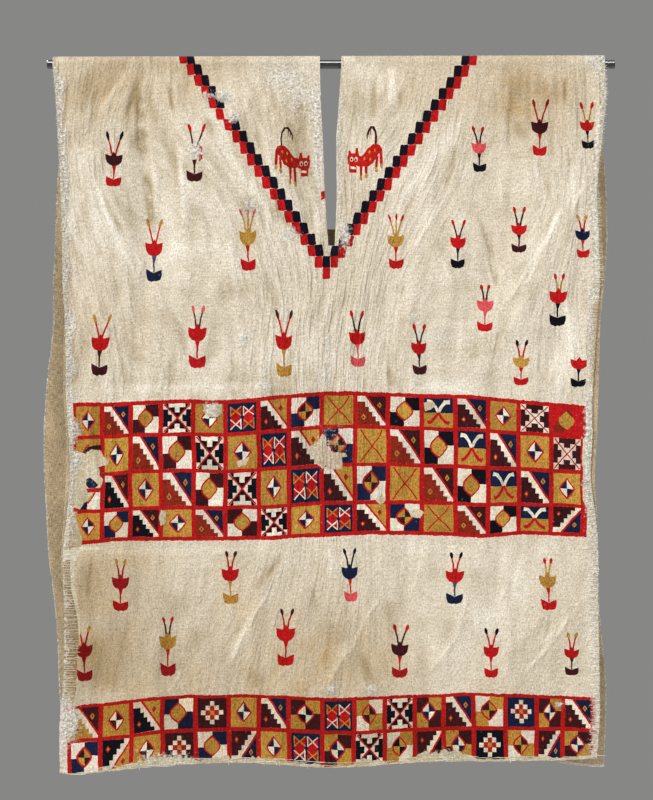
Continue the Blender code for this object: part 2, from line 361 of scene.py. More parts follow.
# Sharp small creases of the front's outer face, placed on the chart
sharpCreases = [
    # fromAcross, fromDown, toAcross, toDown, halfWidth, and the height in mm
    (118, 82, 103, 113, 2.6, 0.9), (139, 96, 142, 158, 3.4, -0.9), (145, 172, 152, 222, 3.4, -0.9),
    (132, 78, 131, 110, 3.0, -0.6), (168, 82, 175, 118, 2.8, -0.7), (164, 130, 177, 188, 2.8, -0.8),
    (181, 150, 185, 232, 2.4, 0.8), (204, 108, 226, 152, 2.2, 0.8), (208, 119, 223, 150, 1.8, -0.6),
    (97, 188, 118, 242, 2.8, 0.9), (118, 240, 141, 284, 2.4, 0.7), (85, 232, 87, 272, 2.6, 0.7),
    (127, 188, 133, 218, 2.4, -0.6), (107, 203, 113, 228, 2.0, -0.5), (200, 163, 212, 204, 3.2, -0.6),
    (268, 108, 272, 138, 2.2, -0.8), (262, 74, 264, 102, 2.8, -0.7), (245, 117, 259, 142, 2.0, -0.5),
    (252, 112, 268, 140, 2.0, 0.5), (151, 150, 158, 200, 2.4, 0.6), (190, 206, 194, 250, 2.6, -0.5),
    (231, 240, 236, 292, 2.6, 0.5), (262, 220, 290, 262, 2.4, 0.6), (74, 262, 78, 300, 2.4, 0.6),
    (510, 86, 509, 154, 2.4, -0.9), (535, 158, 540, 190, 2.4, 0.8), (479, 218, 493, 258, 2.4, -0.9),
    (491, 250, 498, 290, 2.2, -0.8), (486, 258, 495, 292, 1.8, 0.6), (584, 188, 571, 212, 2.2, 0.8),
    (559, 212, 543, 254, 2.4, 0.9), (543, 254, 520, 294, 2.4, 0.9), (541, 256, 523, 286, 2.2, -0.6),
    (553, 214, 544, 246, 2.2, -0.6), (547, 184, 553, 208, 2.4, -0.6), (571, 158, 569, 188, 1.8, -0.7),
    (438, 210, 409, 258, 2.2, 0.9), (409, 258, 397, 288, 2.2, 0.7), (457, 148, 446, 188, 2.8, -0.8),
    (426, 222, 414, 244, 2.2, -0.6), (500, 178, 504, 208, 2.2, 0.5), (447, 260, 459, 288, 2.2, -0.6),
    (436, 250, 450, 280, 2.0, 0.5), (374, 78, 374, 118, 3.4, -0.6), (387, 80, 387, 98, 2.2, -0.6),
    (400, 92, 402, 114, 2.0, -0.5), (393, 74, 390, 112, 2.2, 0.6), (566, 78, 565, 102, 2.4, -0.8),
    (495, 88, 498, 118, 2.2, -0.5), (346, 298, 324, 338, 4.0, -0.6), (540, 352, 538, 378, 2.0, -0.7),
    (232, 352, 235, 374, 1.8, -0.6), (170, 362, 170, 388, 2.0, -0.7), (142, 328, 146, 354, 2.2, -0.5),
    (527, 272, 508, 304, 2.0, 0.6), (499, 330, 495, 360, 1.8, -0.6), (300, 340, 296, 384, 2.4, 0.5),
    (463, 318, 458, 372, 2.4, 0.5), (384, 340, 392, 388, 2.4, -0.5), (567, 300, 573, 372, 2.4, 0.6),
    (266, 598, 247, 628, 2.2, 0.9), (247, 628, 232, 662, 2.2, 0.9), (246, 620, 235, 637, 2.0, -0.6),
    (282, 556, 267, 580, 2.8, -0.8), (329, 558, 324, 580, 2.2, -0.6), (313, 588, 317, 614, 2.4, -0.6),
    (363, 632, 362, 668, 2.0, -0.8), (362, 664, 369, 692, 2.0, -0.7), (381, 598, 365, 622, 2.0, 0.6),
    (365, 622, 349, 658, 2.0, 0.6), (349, 650, 328, 684, 2.2, 0.5), (569, 618, 554, 642, 2.2, 0.8),
    (554, 642, 525, 674, 2.2, 0.8), (506, 588, 497, 608, 2.0, 0.5), (301, 654, 267, 692, 2.4, 0.5),
    (467, 598, 455, 642, 2.2, 0.5), (455, 640, 429, 674, 2.2, 0.5), (551, 622, 545, 642, 2.0, -0.5),
    (182, 672, 169, 694, 2.2, 0.5), (131, 616, 118, 668, 3.0, -0.5), (205, 560, 198, 604, 2.6, 0.5),
    (424, 556, 412, 596, 2.4, 0.5), (520, 566, 512, 604, 2.6, 0.5), (92, 560, 88, 604, 2.4, -0.6),
    (600, 92, 598, 150, 1.7, 0.9), (598, 150, 597, 208, 1.5, 0.8), (597, 214, 599, 286, 1.8, 0.9),
    (595.5, 98, 594, 205, 1.3, -0.7), (593, 214, 595, 286, 1.3, -0.7),
]


def creaseInMm(fromAcross, fromDown, toAcross, toDown, halfWidth, height):
    start, end = chart(fromAcross, fromDown), chart(toAcross, toDown)
    return (start[0], -start[1], end[0], -end[1], halfWidth * chartValues["unit"], height)


front["sharpCreases"] = [creaseInMm(*row) for row in sharpCreases]


def paint(colour, points, tooth=0.0, spacing=3.0):
    design.append({"colour": colour, "points": points, "tooth": tooth, "spacing": spacing})


def stroke(colour, points, widths, **more):  # a line drawn with a width at each point
    leftSide, rightSide = [], []
    for number, point in enumerate(points):
        ahead = points[min(number + 1, len(points) - 1)]
        behind = points[max(number - 1, 0)]
        run = math.hypot(ahead[0] - behind[0], ahead[1] - behind[1])
        aside = ((behind[1] - ahead[1]) / run, (ahead[0] - behind[0]) / run)
        half = widths[min(number, len(widths) - 1)] / 2
        leftSide.append((point[0] + aside[0] * half, point[1] + aside[1] * half))
        rightSide.append((point[0] - aside[0] * half, point[1] - aside[1] * half))
    paint(colour, leftSide + rightSide[::-1], **more)


def oval(centre, wide, tall, count=10):
    turns = [2 * math.pi * number / count for number in range(count)]
    return [(centre[0] + wide * math.cos(turn), centre[1] + tall * math.sin(turn)) for turn in turns]


# Small squares of the bands, charted on a unit square
wholeSquare = [(0, 0), (1, 0), (1, 1), (0, 1)]
tileMiddle = (0.5, 0.51)
stepChart = [
    (0, 0), (0.80, 0), (0.80, 0.14), (0.66, 0.14), (0.66, 0.30), (0.53, 0.30), (0.53, 0.47),
    (0.40, 0.47), (0.40, 0.64), (0.27, 0.64), (0.27, 0.81), (0, 0.81),
]
pyramidChart = [
    (0, 0.19), (0.17, 0.19), (0.17, 0.38), (0.31, 0.38), (0.31, 0.62), (0.17, 0.62), (0.17, 0.81), (0, 0.81),
]
teeChart = [
    (0.20, 1), (0.20, 0.88), (0.41, 0.88), (0.41, 0.70), (0.59, 0.70), (0.59, 0.88), (0.80, 0.88), (0.80, 1),
]
eyeChart = [
    (0.50, 0.87), (0.36, 0.72), (0.25, 0.60), (0.19, 0.51), (0.25, 0.40), (0.36, 0.27),
    (0.50, 0.14), (0.64, 0.27), (0.75, 0.40), (0.82, 0.50), (0.75, 0.60), (0.64, 0.72),
]
roundChart = [
    (0.48, 0.88), (0.34, 0.76), (0.22, 0.64), (0.18, 0.52), (0.24, 0.36), (0.36, 0.25),
    (0.50, 0.17), (0.62, 0.28), (0.74, 0.40), (0.80, 0.51), (0.72, 0.66), (0.60, 0.78),
]


def scaled(points, share, centre=tileMiddle):
    return [(centre[0] + (x - centre[0]) * share, centre[1] + (y - centre[1]) * share) for x, y in points]


def turned(points):  # a quarter turn of a chart
    return [(1 - y, x) for x, y in points]


def flipped(points):  # a chart upside down
    return [(x, 1 - y) for x, y in points]


def quarterEye(put, outline, first, second):  # an outlined diamond in four quarters
    inner = scaled(outline, 0.80)
    put("red", outline)
    size = len(inner)
    top, left, bottom, right = inner[0], inner[size // 4], inner[size // 2], inner[size * 3 // 4]
    put(first, [tileMiddle, top] + inner[1 : size // 4] + [left])
    put(second, [tileMiddle, left] + inner[size // 4 + 1 : size // 2] + [bottom])
    put(first, [tileMiddle, bottom] + inner[size // 2 + 1 : size * 3 // 4] + [right])
    put(second, [tileMiddle, right] + inner[size * 3 // 4 + 1 :] + [top])


def dot(put, centre, outer, inner):
    for colour, wide, tall in ((outer, 0.085, 0.11), (inner, 0.045, 0.06)):
        put(colour, [(centre[0], centre[1] + tall), (centre[0] - wide, centre[1]),
                     (centre[0], centre[1] - tall), (centre[0] + wide, centre[1])])


def tileEye(put, ink="navy", second="white", mirrored=False):
    put("gold", wholeSquare)
    first, other = (ink, second) if mirrored else (second, ink)
    quarterEye(put, eyeChart, first, other)


def tileEyeMirrored(put, ink="navy"):
    tileEye(put, ink, mirrored=True)


def tileSteps(put, step, corner, low=False):
    flip = flipped if low else list
    put("white", wholeSquare)
    put(step, flip(stepChart))
    put("red", flip([(0.27, 1), (1, 0.06), (1, 1)]))
    put(corner, flip([(0.36, 1), (1, 0.17), (1, 1)]))
    markInk = {"gold": ("rust", "red"), "rust": ("gold", "rust"), "black": ("red", "gold")}
    dot(put, flip([(0.20, 0.28)])[0], *markInk.get(step, ("red", "gold")))
    dot(put, flip([(0.78, 0.70)])[0], *markInk.get(corner, ("gold", "red")))


def tileStepsLow(put, step, corner):
    tileSteps(put, step, corner, low=True)


def corners(put, first, second):
    put(first, wholeSquare)
    put(second, [(0.50, 1), (0.50, 0.56), (1, 0.56), (1, 1)])
    put(second, [(0, 0), (0.47, 0), (0.47, 0.48), (0, 0.48)])


def tileRound(put, first, second):
    corners(put, first, second)
    put("red", roundChart)
    put("gold", scaled(roundChart, 0.82))


def tileQuarters(put, first, second, inkFirst, inkSecond):
    corners(put, first, second)
    quarterEye(put, roundChart, inkFirst, inkSecond)


def tileCross(put, ink):  # stepped triangles meeting at a red cross
    put("white", wholeSquare)
    put(ink, pyramidChart)
    put(ink, turned(turned(pyramidChart)))
    for flip in (list, flipped):
        put(ink, flip([(0.06, 1), (0.5, 0.50), (0.94, 1)]))
        put("white", flip(teeChart))
    crossLines(put, "red", 0.055)


def tilePlain(put, ink):  # the same cross with four stepped triangles at the sides
    put("white", wholeSquare)
    shape = pyramidChart
    for _ in range(4):
        put(ink, shape)
        shape = turned(shape)
    crossLines(put, "red", 0.045)


def crossLines(put, colour, width, box=(0.03, 0.02, 0.97, 0.98)):
    low, bottom, high, top = box
    put(colour, [(low, top), (0.5, 0.5), (high, bottom)], width)
    put(colour, [(low, bottom), (0.5, 0.5), (high, top)], width)


def tileThinCross(put):
    put("gold", wholeSquare)
    put("red", [(0.10, 0.98), (0.30, 0.74), (0.50, 0.50), (0.72, 0.30), (0.92, 0.03)], 0.045)
    put("red", [(0.10, 0.03), (0.26, 0.22), (0.50, 0.50), (0.74, 0.74), (0.88, 0.98)], 0.045)


def tileTies(put):  # two columns of bow ties
    put("navy", wholeSquare)
    for left, right, upper, lower in ((0.09, 0.47, "gold", "white"), (0.54, 0.92, "white", "gold")):
        middle = (left + right) / 2
        put("red", [(left, 0.88), (middle, 0.72), (right, 0.88), (right, 0.60), (right - 0.03, 0.50),
                    (right, 0.40), (right, 0.10), (middle, 0.25), (left, 0.10), (left, 0.40),
                    (left + 0.03, 0.50), (left, 0.60)])
        for ink, high, half, low in ((upper, 0.89, 0.72, 0.56), (lower, 0.42, 0.26, 0.09)):
            put(ink, [(left, high), (middle, half), (right, low)], 0.036)
            put(ink, [(left, low), (middle, half), (right, high)], 0.036)
        put(upper, [(left, 0.90), (left + 0.01, 0.54)], 0.03)
        put(lower, [(right - 0.01, 0.45), (right, 0.08)], 0.03)


def tileBranches(put):
    put("navy", [(0, 0.50), (1, 0.50), (1, 1), (0, 1)])
    put("gold", [(0, 0), (1, 0), (1, 0.50), (0, 0.50)])
    for sign in (-1, 1):
        put("white", [(0.5, 0.50), (0.5 + sign * 0.10, 0.70), (0.5 + sign * 0.24, 0.86),
                      (0.5 + sign * 0.40, 0.88)], (0.10, 0.10, 0.13, 0.16))
        put("red", [(0.5, 0.52), (0.5 + sign * 0.10, 0.34), (0.5 + sign * 0.24, 0.18),
                    (0.5 + sign * 0.38, 0.14)], (0.08, 0.10, 0.12, 0.15))


def tileFlower(put, ground):  # a stepped ring of small squares
    put(ground, wholeSquare)
    small = 0.075
    ring = [(0, 0.33), (0.155, 0.18), (0.31, 0.02), (0.155, -0.145), (0, -0.30),
            (-0.155, -0.145), (-0.31, 0.02), (-0.155, 0.18)]
    heart = [(0, 0.17), (0.155, 0.02), (0, -0.135), (-0.155, 0.02)]
    for colour, places in (("white", ring), ("red", heart), ("gold", [(0, 0.02)])):
        for x, y in places:
            put(colour, [(0.5 + x - small, 0.5 + y - small), (0.5 + x + small, 0.5 + y - small),
                         (0.5 + x + small, 0.5 + y + small), (0.5 + x - small, 0.5 + y + small)])


def tileWorn(put):
    put("red", wholeSquare)
    put("rust", [(0.45, 0.92), (0.62, 0.94), (0.72, 0.62), (0.55, 0.30), (0.30, 0.05), (0, 0.05), (0, 0.30)])
    put("gold", scaled(roundChart, 0.95, (0.44, 0.50)))


tiles = {
    "D": tileEye,
    "Dm": tileEyeMirrored,
    "S": tileSteps,
    "Sm": tileStepsLow,
    "B": tileRound,
    "Q": tileQuarters,
    "X": tileCross,
    "Y": tilePlain,
    "G": tileThinCross,
    "H": tileTies,
    "V": tileBranches,
    "F": tileFlower,
    "R": tileWorn,
}

mainBand = {
    "columns": [74, 102.5, 130.6, 161, 193.7, 225.5, 258.7, 289.3, 321.8, 355, 388, 421.8, 455.5, 487.8,
                518.6, 550.9, 582.4],
    "leftEnd": 73.5,
    "rightEnd": 586.5,
    "top": [(60, 404), (75, 404), (129, 403), (184, 400.5), (223, 401), (289, 396), (321, 392.8),
            (353, 392.6), (400, 394.4), (468, 396), (519, 401), (595, 408)],
    "bottom": [(60, 546), (83, 546), (129, 542), (198, 541.5), (264, 541), (328, 537.5), (400, 535.5),
               (483, 538), (519, 536.5), (595, 538)],
    "rows": [0.015, 0.245, 0.508, 0.769, 0.985],
    "tooth": 0.55,
    "barWide": 4.6,
    "barTall": 3.9,
    "tiles": [
        ["Dm", "S rust navy", "B white maroon", "X black", "D", "H", "S maroon gold",
         "Q white navy maroon gold", "G", "S rust maroon", "B white black", "V", "S maroon navy", "Dm",
         "Y maroon", "R"],
        ["Dm", "D", "S rust navy", "B white maroon", "X black", "D", "H", "S maroon gold",
         "Q navy white gold maroon", "G", "S rust maroon", "B white black", "V", "S maroon navy", "D",
         "Y maroon"],
        ["B white navy", "S black maroon", "D", "S rust navy", "B white maroon", "X black", "D", "H",
         "S maroon gold", "Q white navy maroon gold", "G", "S rust maroon", "B white black", "V",
         "S maroon navy", "Dm"],
        ["D", "B white navy", "S black maroon", "D", "S rust navy", "B maroon white", "X black", "D", "H",
         "S maroon gold", "Q navy white gold maroon", "G", "S rust maroon", "B white black", "V",
         "Sm maroon navy"],
    ],
}
hemBand = {
    "columns": [68.5, 100.6, 131, 162.4, 195.6, 228.5, 258.8, 289, 322.4, 354, 384.7, 414.9, 443.6, 473.6,
                505.5, 536.7, 562.9, 593],
    "leftEnd": 66.5,
    "rightEnd": 597,
    "top": [(60, 708.5), (74, 707), (104, 704), (162, 697.5), (240, 696), (287, 697), (340, 699),
            (430, 695.5),
            (496, 694), (596, 699), (605, 699)],
    "bottom": [(60, 778), (104, 776), (162, 767), (240, 765), (287, 765.5), (340, 768), (430, 765),
               (496, 763.5),
               (605, 763)],
    "rows": [0.02, 0.505, 1.0],
    "tooth": 0.45,
    "barWide": 4.6,
    "barTall": 3.9,
    "tiles": [
        ["S gold maroon", "D maroon", "S black gold", "B navy white", "F maroon", "D", "S maroon navy",
         "Q maroon gold white black", "H", "Q gold white gold maroon", "X black", "Q maroon gold white navy",
         "S maroon navy", "Q white gold maroon gold", "F navy", "Q maroon gold white navy", "S maroon navy"],
        ["Q white navy maroon gold", "Sm black gold", "D maroon", "F maroon", "B white navy",
         "Sm maroon navy", "Dm", "H", "Q gold maroon navy white", "X black", "Q white gold black gold",
         "Sm maroon black", "Q gold maroon navy white", "F black", "Q gold white gold maroon",
         "Sm maroon navy", "Q gold maroon navy white"],
    ],
}
bandValues = {"edgeParts": 26, "edgeSpacing": 1.7, "thinnest": 1.3}


def layBand(band):
    def height(across, share):
        top, bottom = curveAt(band["top"], 1, across), curveAt(band["bottom"], 1, across)
        return float(top + (bottom - top) * share)

    count = bandValues["edgeParts"]
    span = [band["leftEnd"] + (band["rightEnd"] - band["leftEnd"]) * n / count for n in range(count + 1)]
    edge = [chart(x, height(x, 0)) for x in span] + [chart(x, height(x, 1)) for x in reversed(span)]
    paint("madder", edge, tooth=band["tooth"], spacing=bandValues["edgeSpacing"])
    for row, names in enumerate(band["tiles"]):
        for column, name in enumerate(names):
            left = band["columns"][column] + band["barWide"] / 2
            right = band["columns"][column + 1] - band["barWide"] / 2
            half = band["barTall"] / 2

            def put(colour, points, widths=None):
                places = []
                for u, v in points:
                    across = left + (right - left) * u
                    top = height(across, band["rows"][row]) + half
                    bottom = height(across, band["rows"][row + 1]) - half
                    places.append(chart(across, bottom + (top - bottom) * v))
                if widths is None:
                    paint(colour, places)
                else:
                    widths = widths if isinstance(widths, tuple) else (widths,)
                    unit = (right - left) * chartValues["unit"]
                    stroke(colour, places, [max(bandValues["thinnest"], width * unit) for width in widths])

            kind, *inks = name.split()
            tiles[kind](put, *inks)


# Flower sprigs, charted in mm about the middle of the blossom
flowerValues = {
    "reach": 36.0,
    "joint": 14.5,
    "stalkReach": 0.96,
    "smallest": 0.72,
    "narrowest": 0.62,
    "leanSpread": 0.18,
    "swaySpread": 0.45,
    "swayShare": 0.5,
    "slant": 0.08,
    "leanNoise": (0.37, 0.41, 2.0),
    "swayNoise": (0.53, 0.29, 7.0),
    "stalkWidth": 2.2,
    "stalkWidths": (1.15, 1.0, 1.0),
    "tipWidth": 4.6,
    "tipWidths": (0.6, 1.0, 0.45),
    "tipOfThree": 0.7,
    "tipOut": 1.15,
    "tipBend": 6,
    "tipLong": 11,
}
stalkCharts = {
    2: [((-2.0, 6), (-4.2, 18), (-6.6, 28)), ((2.0, 6), (4.8, 18), (7.6, 28))],
    3: [((-2.4, 6), (-5, 18), (-8, 29)), ((0.2, 8), (0.4, 20), (0.6, 31)), ((2.4, 6), (5, 18), (8, 29))],
}
blossomChart = [
    (-2.8, -10.8), (-7.4, -8.8), (-10.6, -4.6), (-11.8, 1.0), (-12.2, 7.4), (-8.6, 6.2), (-4.2, 5.0),
    (-2.4, 7.8),
    (0, 11.8), (2.2, 7.8), (4.2, 4.8), (8.6, 5.8), (12.0, 7.2), (11.6, 1.0), (10.4, -4.6), (7.2, -8.8),
    (2.8, -10.8),
]
stemChart = [(-3.2, -10.6), (-1.2, -19), (-1.0, -32), (1.0, -32), (1.2, -19), (3.2, -10.6)]
cupChart = [
    (-10.8, -27), (-10.6, -35), (-8.8, -41.5), (-3, -43.8), (0, -42.6), (3, -43.6), (8.8, -41.2), (10.8, -35),
    (10.6, -28), (5.6, -30), (0, -32.5), (-5.6, -29.8),
]
frontFlowers = [
    # across, tip, blossom, cup, tipInk, stalkInk, blossomInk, stemInk, cupInk, stalks
    (114, 132, 160, 183, "black", "red", "maroon", "red", "red", 2),
    (195, 125, 154, 178, "red", "brown", "", "brown", "maroon", 2),
    (154, 221, 249, 277, "gold", "red", "red", "slate", "navy", 2),
    (248, 214, 238, 266, "pink", "gold", "gold", "red", "red", 3),
    (396, 218, 241, 265, "red", "gold", "gold", "red", "red", 3),
    (479, 130, 148, 169, "red", "black", "pink", "black", "black", 2),
    (540, 100, 128, 152, "rust", "red", "maroon", "red", "red", 2),
    (587, 103, 126, 146, "red", "gold", "red", "black", "black", 2),
    (458, 223, 243, 265, "red", "brown", "red", "navy", "black", 2),
    (519, 208, 230, 250, "red", "black", "red", "maroon", "maroon", 2),
    (582, 218, 235, 255, "gold", "red", "navy", "red", "red", 2),
    (101, 317, 344, 371, "gold", "red", "red", "maroon", "maroon", 2),
    (198, 311, 334, 363, "pink", "brown", "red", "red", "red", 2),
    (284, 313, 342, 372, "brown", "red", "red", "gold", "gold", 2),
    (357, 314, 338, 363, "red", "black", "red", "pink", "pink", 2),
    (419, 327, 348, 371, "red", "black", "red", "maroon", "maroon", 2),
    (485, 289, 306, 328, "red", "brown", "pink", "pink", "red", 2),
    (558, 278, 297, 322, "red", "gold", "red", "black", "black", 2),
    (521, 342, 362, 382, "black", "red", "gold", "red", "red", 2),
    (579, 346, 364, 384, "", "", "red", "black", "black", 2),
    (121, 563, 583, 607, "gold", "brick", "brick", "red", "red", 2),
    (231, 556, 575, 600, "brown", "red", "red", "gold", "gold", 2),
    (350, 552, 573, 598, "black", "black", "navy", "red", "pink", 2),
    (455, 555, 576, 600, "black", "red", "red", "slate", "navy", 2),
    (548, 563, 581, 606, "red", "gold", "gold", "red", "red", 2),
    (84, 629, 651, 677, "gold", "red", "brick", "brick", "brick", 2),
    (168, 622, 642, 671, "red", "brown", "gold", "red", "brick", 2),
    (286, 613, 634, 661, "brown", "red", "red", "red", "red", 2),
    (400, 628, 650, 674, "red", "brown", "maroon", "red", "brick", 2),
    (491, 631, 652, 674, "black", "red", "red", "red", "red", 2),
    (572, 634, 654, 673, "gold", "red", "red", "brown", "maroon", 2),
]


def layFlower(across, tip, blossom, cup, tipInk, stalkInk, blossomInk, stemInk, cupInk, stalks):
    values = flowerValues
    unit = chartValues["unit"]
    middle = chart(across, blossom)
    highShare = (blossom - tip) * unit / values["reach"]
    lowShare = (cup - blossom) * unit / values["reach"]
    wide = (1 + min(1.0, max(values["smallest"], lowShare))) / 2

    def varied(scale):  # no two sprigs are quite alike
        return noise.noise(Vector((across * scale[0], blossom * scale[1], scale[2])))

    lean, sway = varied(values["leanNoise"]), varied(values["swayNoise"])

    def spot(x, y):
        joint = values["joint"]
        if y <= joint:
            reach = y * lowShare
            spread = wide * (1 + values["leanSpread"] * lean)
        else:
            reach = joint * lowShare + (y - joint) * highShare * values["stalkReach"]
            spread = min(wide, max(values["narrowest"], highShare)) * (1 + values["swaySpread"] * sway)
        aslant = (lean + values["swayShare"] * sway) * y * values["slant"]
        return (middle[0] + x * spread + aslant, middle[1] + reach)

    for run in stalkCharts[stalks]:
        lower, upper = run[1], run[2]
        end = (upper[0] + (upper[0] - lower[0]) * values["tipOut"], upper[1] + values["tipLong"])
        half = ((upper[0] + end[0]) / 2, upper[1] + values["tipBend"])
        if stalkInk:
            widths = [values["stalkWidth"] * share for share in values["stalkWidths"]]
            stroke(stalkInk, [spot(*point) for point in run], widths)
        if tipInk:
            width = values["tipWidth"] * (values["tipOfThree"] if stalks == 3 else 1.0)
            widths = [width * share for share in values["tipWidths"]]
            stroke(tipInk, [spot(*upper), spot(*half), spot(*end)], widths)
    for ink, points in ((stemInk, stemChart), (blossomInk, blossomChart), (cupInk, cupChart)):
        if ink:
            paint(ink, [spot(*point) for point in points])


# Spotted cats beside the slit, charted in mm about the middle of the body
catBody = [
    (-13, 8), (-13, 14), (-10, 19), (-5, 21), (0, 20), (6, 15), (11, 7), (15, 4), (19, 4), (20, -9),
    (14, -10),
    (5, -9), (-1, -5), (-4, 1), (-7, 6), (-9, 8),
]
catHindLegs = [[(-13, 10), (-14, -6), (-10, -6), (-9, 8)], [(-8, 6), (-7, -11), (-4, -11), (-4, 2)]]
catForeLegs = [[(6, -8), (6, -19), (9, -19), (10, -8)], [(12, -9), (13, -22), (16, -22), (16, -9)]]
catHindPaws = [(-12, -9), (-5.5, -14)]
catForePaws = [(7.5, -22), (14.5, -25)]
catHead = [
    (-8, -5), (-8, 3), (-6, 8), (-5, 15), (-2, 15), (-1, 8), (4, 8), (6, 12), (8, 11), (8, 7), (9, 2),
    (8, -5),
    (6, -8), (6, -18), (-4, -18), (-4, -8),
]
catEyes = [(-3, 0), (3, 0)]
catTeeth = [(-3, -10), (-3, -13), (4, -13), (4, -10)]
catTail = [(-4, 20), (-5, 29), (-4, 37), (0, 43), (4, 43), (8, 39), (11, 33), (11, 27)]
catTailWidths = (2.4, 2.2, 2.4, 3.4, 3.2, 2.2, 1.6, 0.9)
catHairs = [[(5, 41), (5, 36), (5, 32)], [(8, 39), (8, 34), (7, 30)]]
catSpotChart = [(0, 3), (-1.4, 0), (0.4, -3), (1.4, 0)]
catSpots = [(4, 10), (3, 0), (10, 1), (-3, 12)]
catValues = {
    "paw": (1.9, 3.6),
    "eye": (2.4, 3.3),
    "pupil": (1.2, 1.9),
    "gaze": (0.4, -0.5),
    "hairWidths": (1.3, 1.1, 0.8),
}
catPlaces = [
    # across, down, facing, middle of the head, how much lower the fore paws are, reach and width of the tail
    (284.6, 161.6, 1, (26, -4), 7, 1.0, 1.0),
    (372.2, 160.7, -1, (24.5, 0), 0, 0.75, 1.35),
]


def layCat(across, down, facing, head, drop, reach, heavy):  # drawn freely, in mm from its middle
    middle = chart(across, down)

    def spots(points, offset=(0, 0)):
        return [(middle[0] + (x + offset[0]) * facing, middle[1] + y + offset[1]) for x, y in points]

    def tailSpots(points):
        return spots([(catTail[0][0] + (x - catTail[0][0]) * reach, y) for x, y in points])

    stroke("brown", tailSpots(catTail), [width * heavy for width in catTailWidths])
    for hair in catHairs:
        stroke("brown", tailSpots(hair), catValues["hairWidths"])
    for leg in catHindLegs:
        paint("cat", spots(leg))
    for hip, toe, heel, thigh in catForeLegs:
        paint("cat", spots([hip, (toe[0], toe[1] - drop), (heel[0], heel[1] - drop), thigh]))
    for x, y in catHindPaws + [(x, y - drop) for x, y in catForePaws]:
        paint("gold", spots(oval((x, y), *catValues["paw"])))
    paint("cat", spots(catBody))
    paint("cat", spots(catHead, head))
    for place in catSpots:
        paint("gold", spots(catSpotChart, place))
    lookX, lookY = catValues["gaze"]
    for x, y in catEyes:
        paint("white", spots(oval((x, y), *catValues["eye"]), head))
        paint("black", spots(oval((x + lookX, y + lookY), *catValues["pupil"]), head))
    paint("pale", spots(catTeeth, head))


# Stepped yoke: pairs of checks going down to a point below the slit
yokeValues = {
    "steps": 17,
    "leftTop": (190, 58.7),
    "leftEnd": (319, 252),
    "rightTop": (465.8, 60.7),
    "rightEnd": (334, 253.6),
    "outerStep": 7.4,
    "halfTall": 5.75,
    "halfWide": 3.85,
    "lean": 0.75,
    "corner": 0.9,
    "shiftScale": 0.7,
    "shiftSeed": 3,
    "shiftLevel": 5.0,
    "shiftWide": 0.6,
    "shiftTall": 0.7,
    "spacing": 2.0,
    "lostOnLeft": {5},
    "point": [("red", 318.6, 263.4), ("ink", 326.2, 263.4), ("red", 334, 263.6), ("red", 326.3, 274.4)],
}


def layCheck(colour, across, down, toward):  # leaning toward the slit, with worn corners
    values = yokeValues
    wide, tall, corner, scale = values["halfWide"], values["halfTall"], values["corner"], values["shiftScale"]
    points = []
    for x, y in ((-1, -1), (-1, 1), (1, 1), (1, -1)):
        shift = noise.noise_vector(Vector((across * scale + x, down * scale + y, values["shiftLevel"])))
        cornerX = across + x * wide + toward * y * values["lean"] + shift[0] * values["shiftWide"]
        cornerY = down + y * tall + shift[1] * values["shiftTall"]
        along = [chart(cornerX, cornerY - y * corner), chart(cornerX - x * corner, cornerY)]
        points += along if x * y < 0 else along[::-1]
    paint(colour, points, spacing=values["spacing"])


def layYoke():
    noise.seed_set(yokeValues["shiftSeed"])  # the vector noise starts from the clock without it
    count = yokeValues["steps"]
    for outward, top, end in ((-1, "leftTop", "leftEnd"), (1, "rightTop", "rightEnd")):
        for step in range(count + 1):
            share = step / count
            across = yokeValues[top][0] + (yokeValues[end][0] - yokeValues[top][0]) * share
            down = yokeValues[top][1] + (yokeValues[end][1] - yokeValues[top][1]) * share
            layCheck("red", across + outward * yokeValues["outerStep"], down, -outward)
            if outward > 0 or step not in yokeValues["lostOnLeft"]:
                layCheck("ink", across, down, -outward)
    for colour, across, down in yokeValues["point"]:
        layCheck(colour, across, down, 0)


# Places where the weaving is lost and the ground or bare warp shows
lossPatches = [
    [(66, 450), (76, 451.5), (86, 455), (90, 450), (101, 452), (104, 458), (109, 461), (107, 466), (101, 467),
     (99, 476), (103, 481), (100, 489), (92, 492), (66, 491)],
    [(66, 489), (94, 492), (91, 498), (84, 505), (80, 511), (74, 508), (66, 505)],
    [(323, 435), (326.5, 437.6), (327, 448), (332, 453.5), (346, 454), (348, 457), (342.6, 458.4),
    (343, 469.5),
     (327.6, 470.8), (325.8, 465.5), (323, 470), (315, 464), (314, 459), (309, 456), (308, 448.5),
     (318.5, 443)],
    [(203, 405.4), (222, 404.6), (222.5, 414), (216, 419), (209, 417), (205.5, 411)],
    [(236, 462), (243, 461), (249, 458), (246, 466), (238, 468)],
    [(424, 403.5), (433, 402), (436, 406), (431, 410), (425, 412)],
    [(582.6, 440), (586.5, 436), (592, 438), (592, 506), (585, 508), (582.4, 500), (583.4, 474),
    (581.6, 462)],
    [(586, 404), (594, 405), (594, 437), (587, 436), (585.4, 420)],
    [(70, 512), (75.6, 513), (76.4, 521), (79, 530), (82, 540), (80, 549), (68, 549)],
    [(378, 497), (383, 496), (386, 501), (381, 506), (376, 502)],
    [(408, 512), (417, 509), (424, 513), (420, 519), (411, 518)],
    [(64, 713), (75, 712.6), (80, 719), (77, 727), (72, 736), (66, 742), (64, 741)],
    [(161, 511), (166, 513), (165.6, 524), (161, 527), (159, 519)],
]
bareStrip = [
    (58, 549), (76, 549), (74, 556), (72.6, 570), (73, 590), (76.4, 602), (78.6, 620), (79, 640), (77.4, 655),
    (76.6, 672), (75.6, 690), (74, 704), (58, 706),
]
seamStrip = [(599.6, 54), (612, 54), (612, 186), (597, 186), (598.4, 150), (599, 110)]
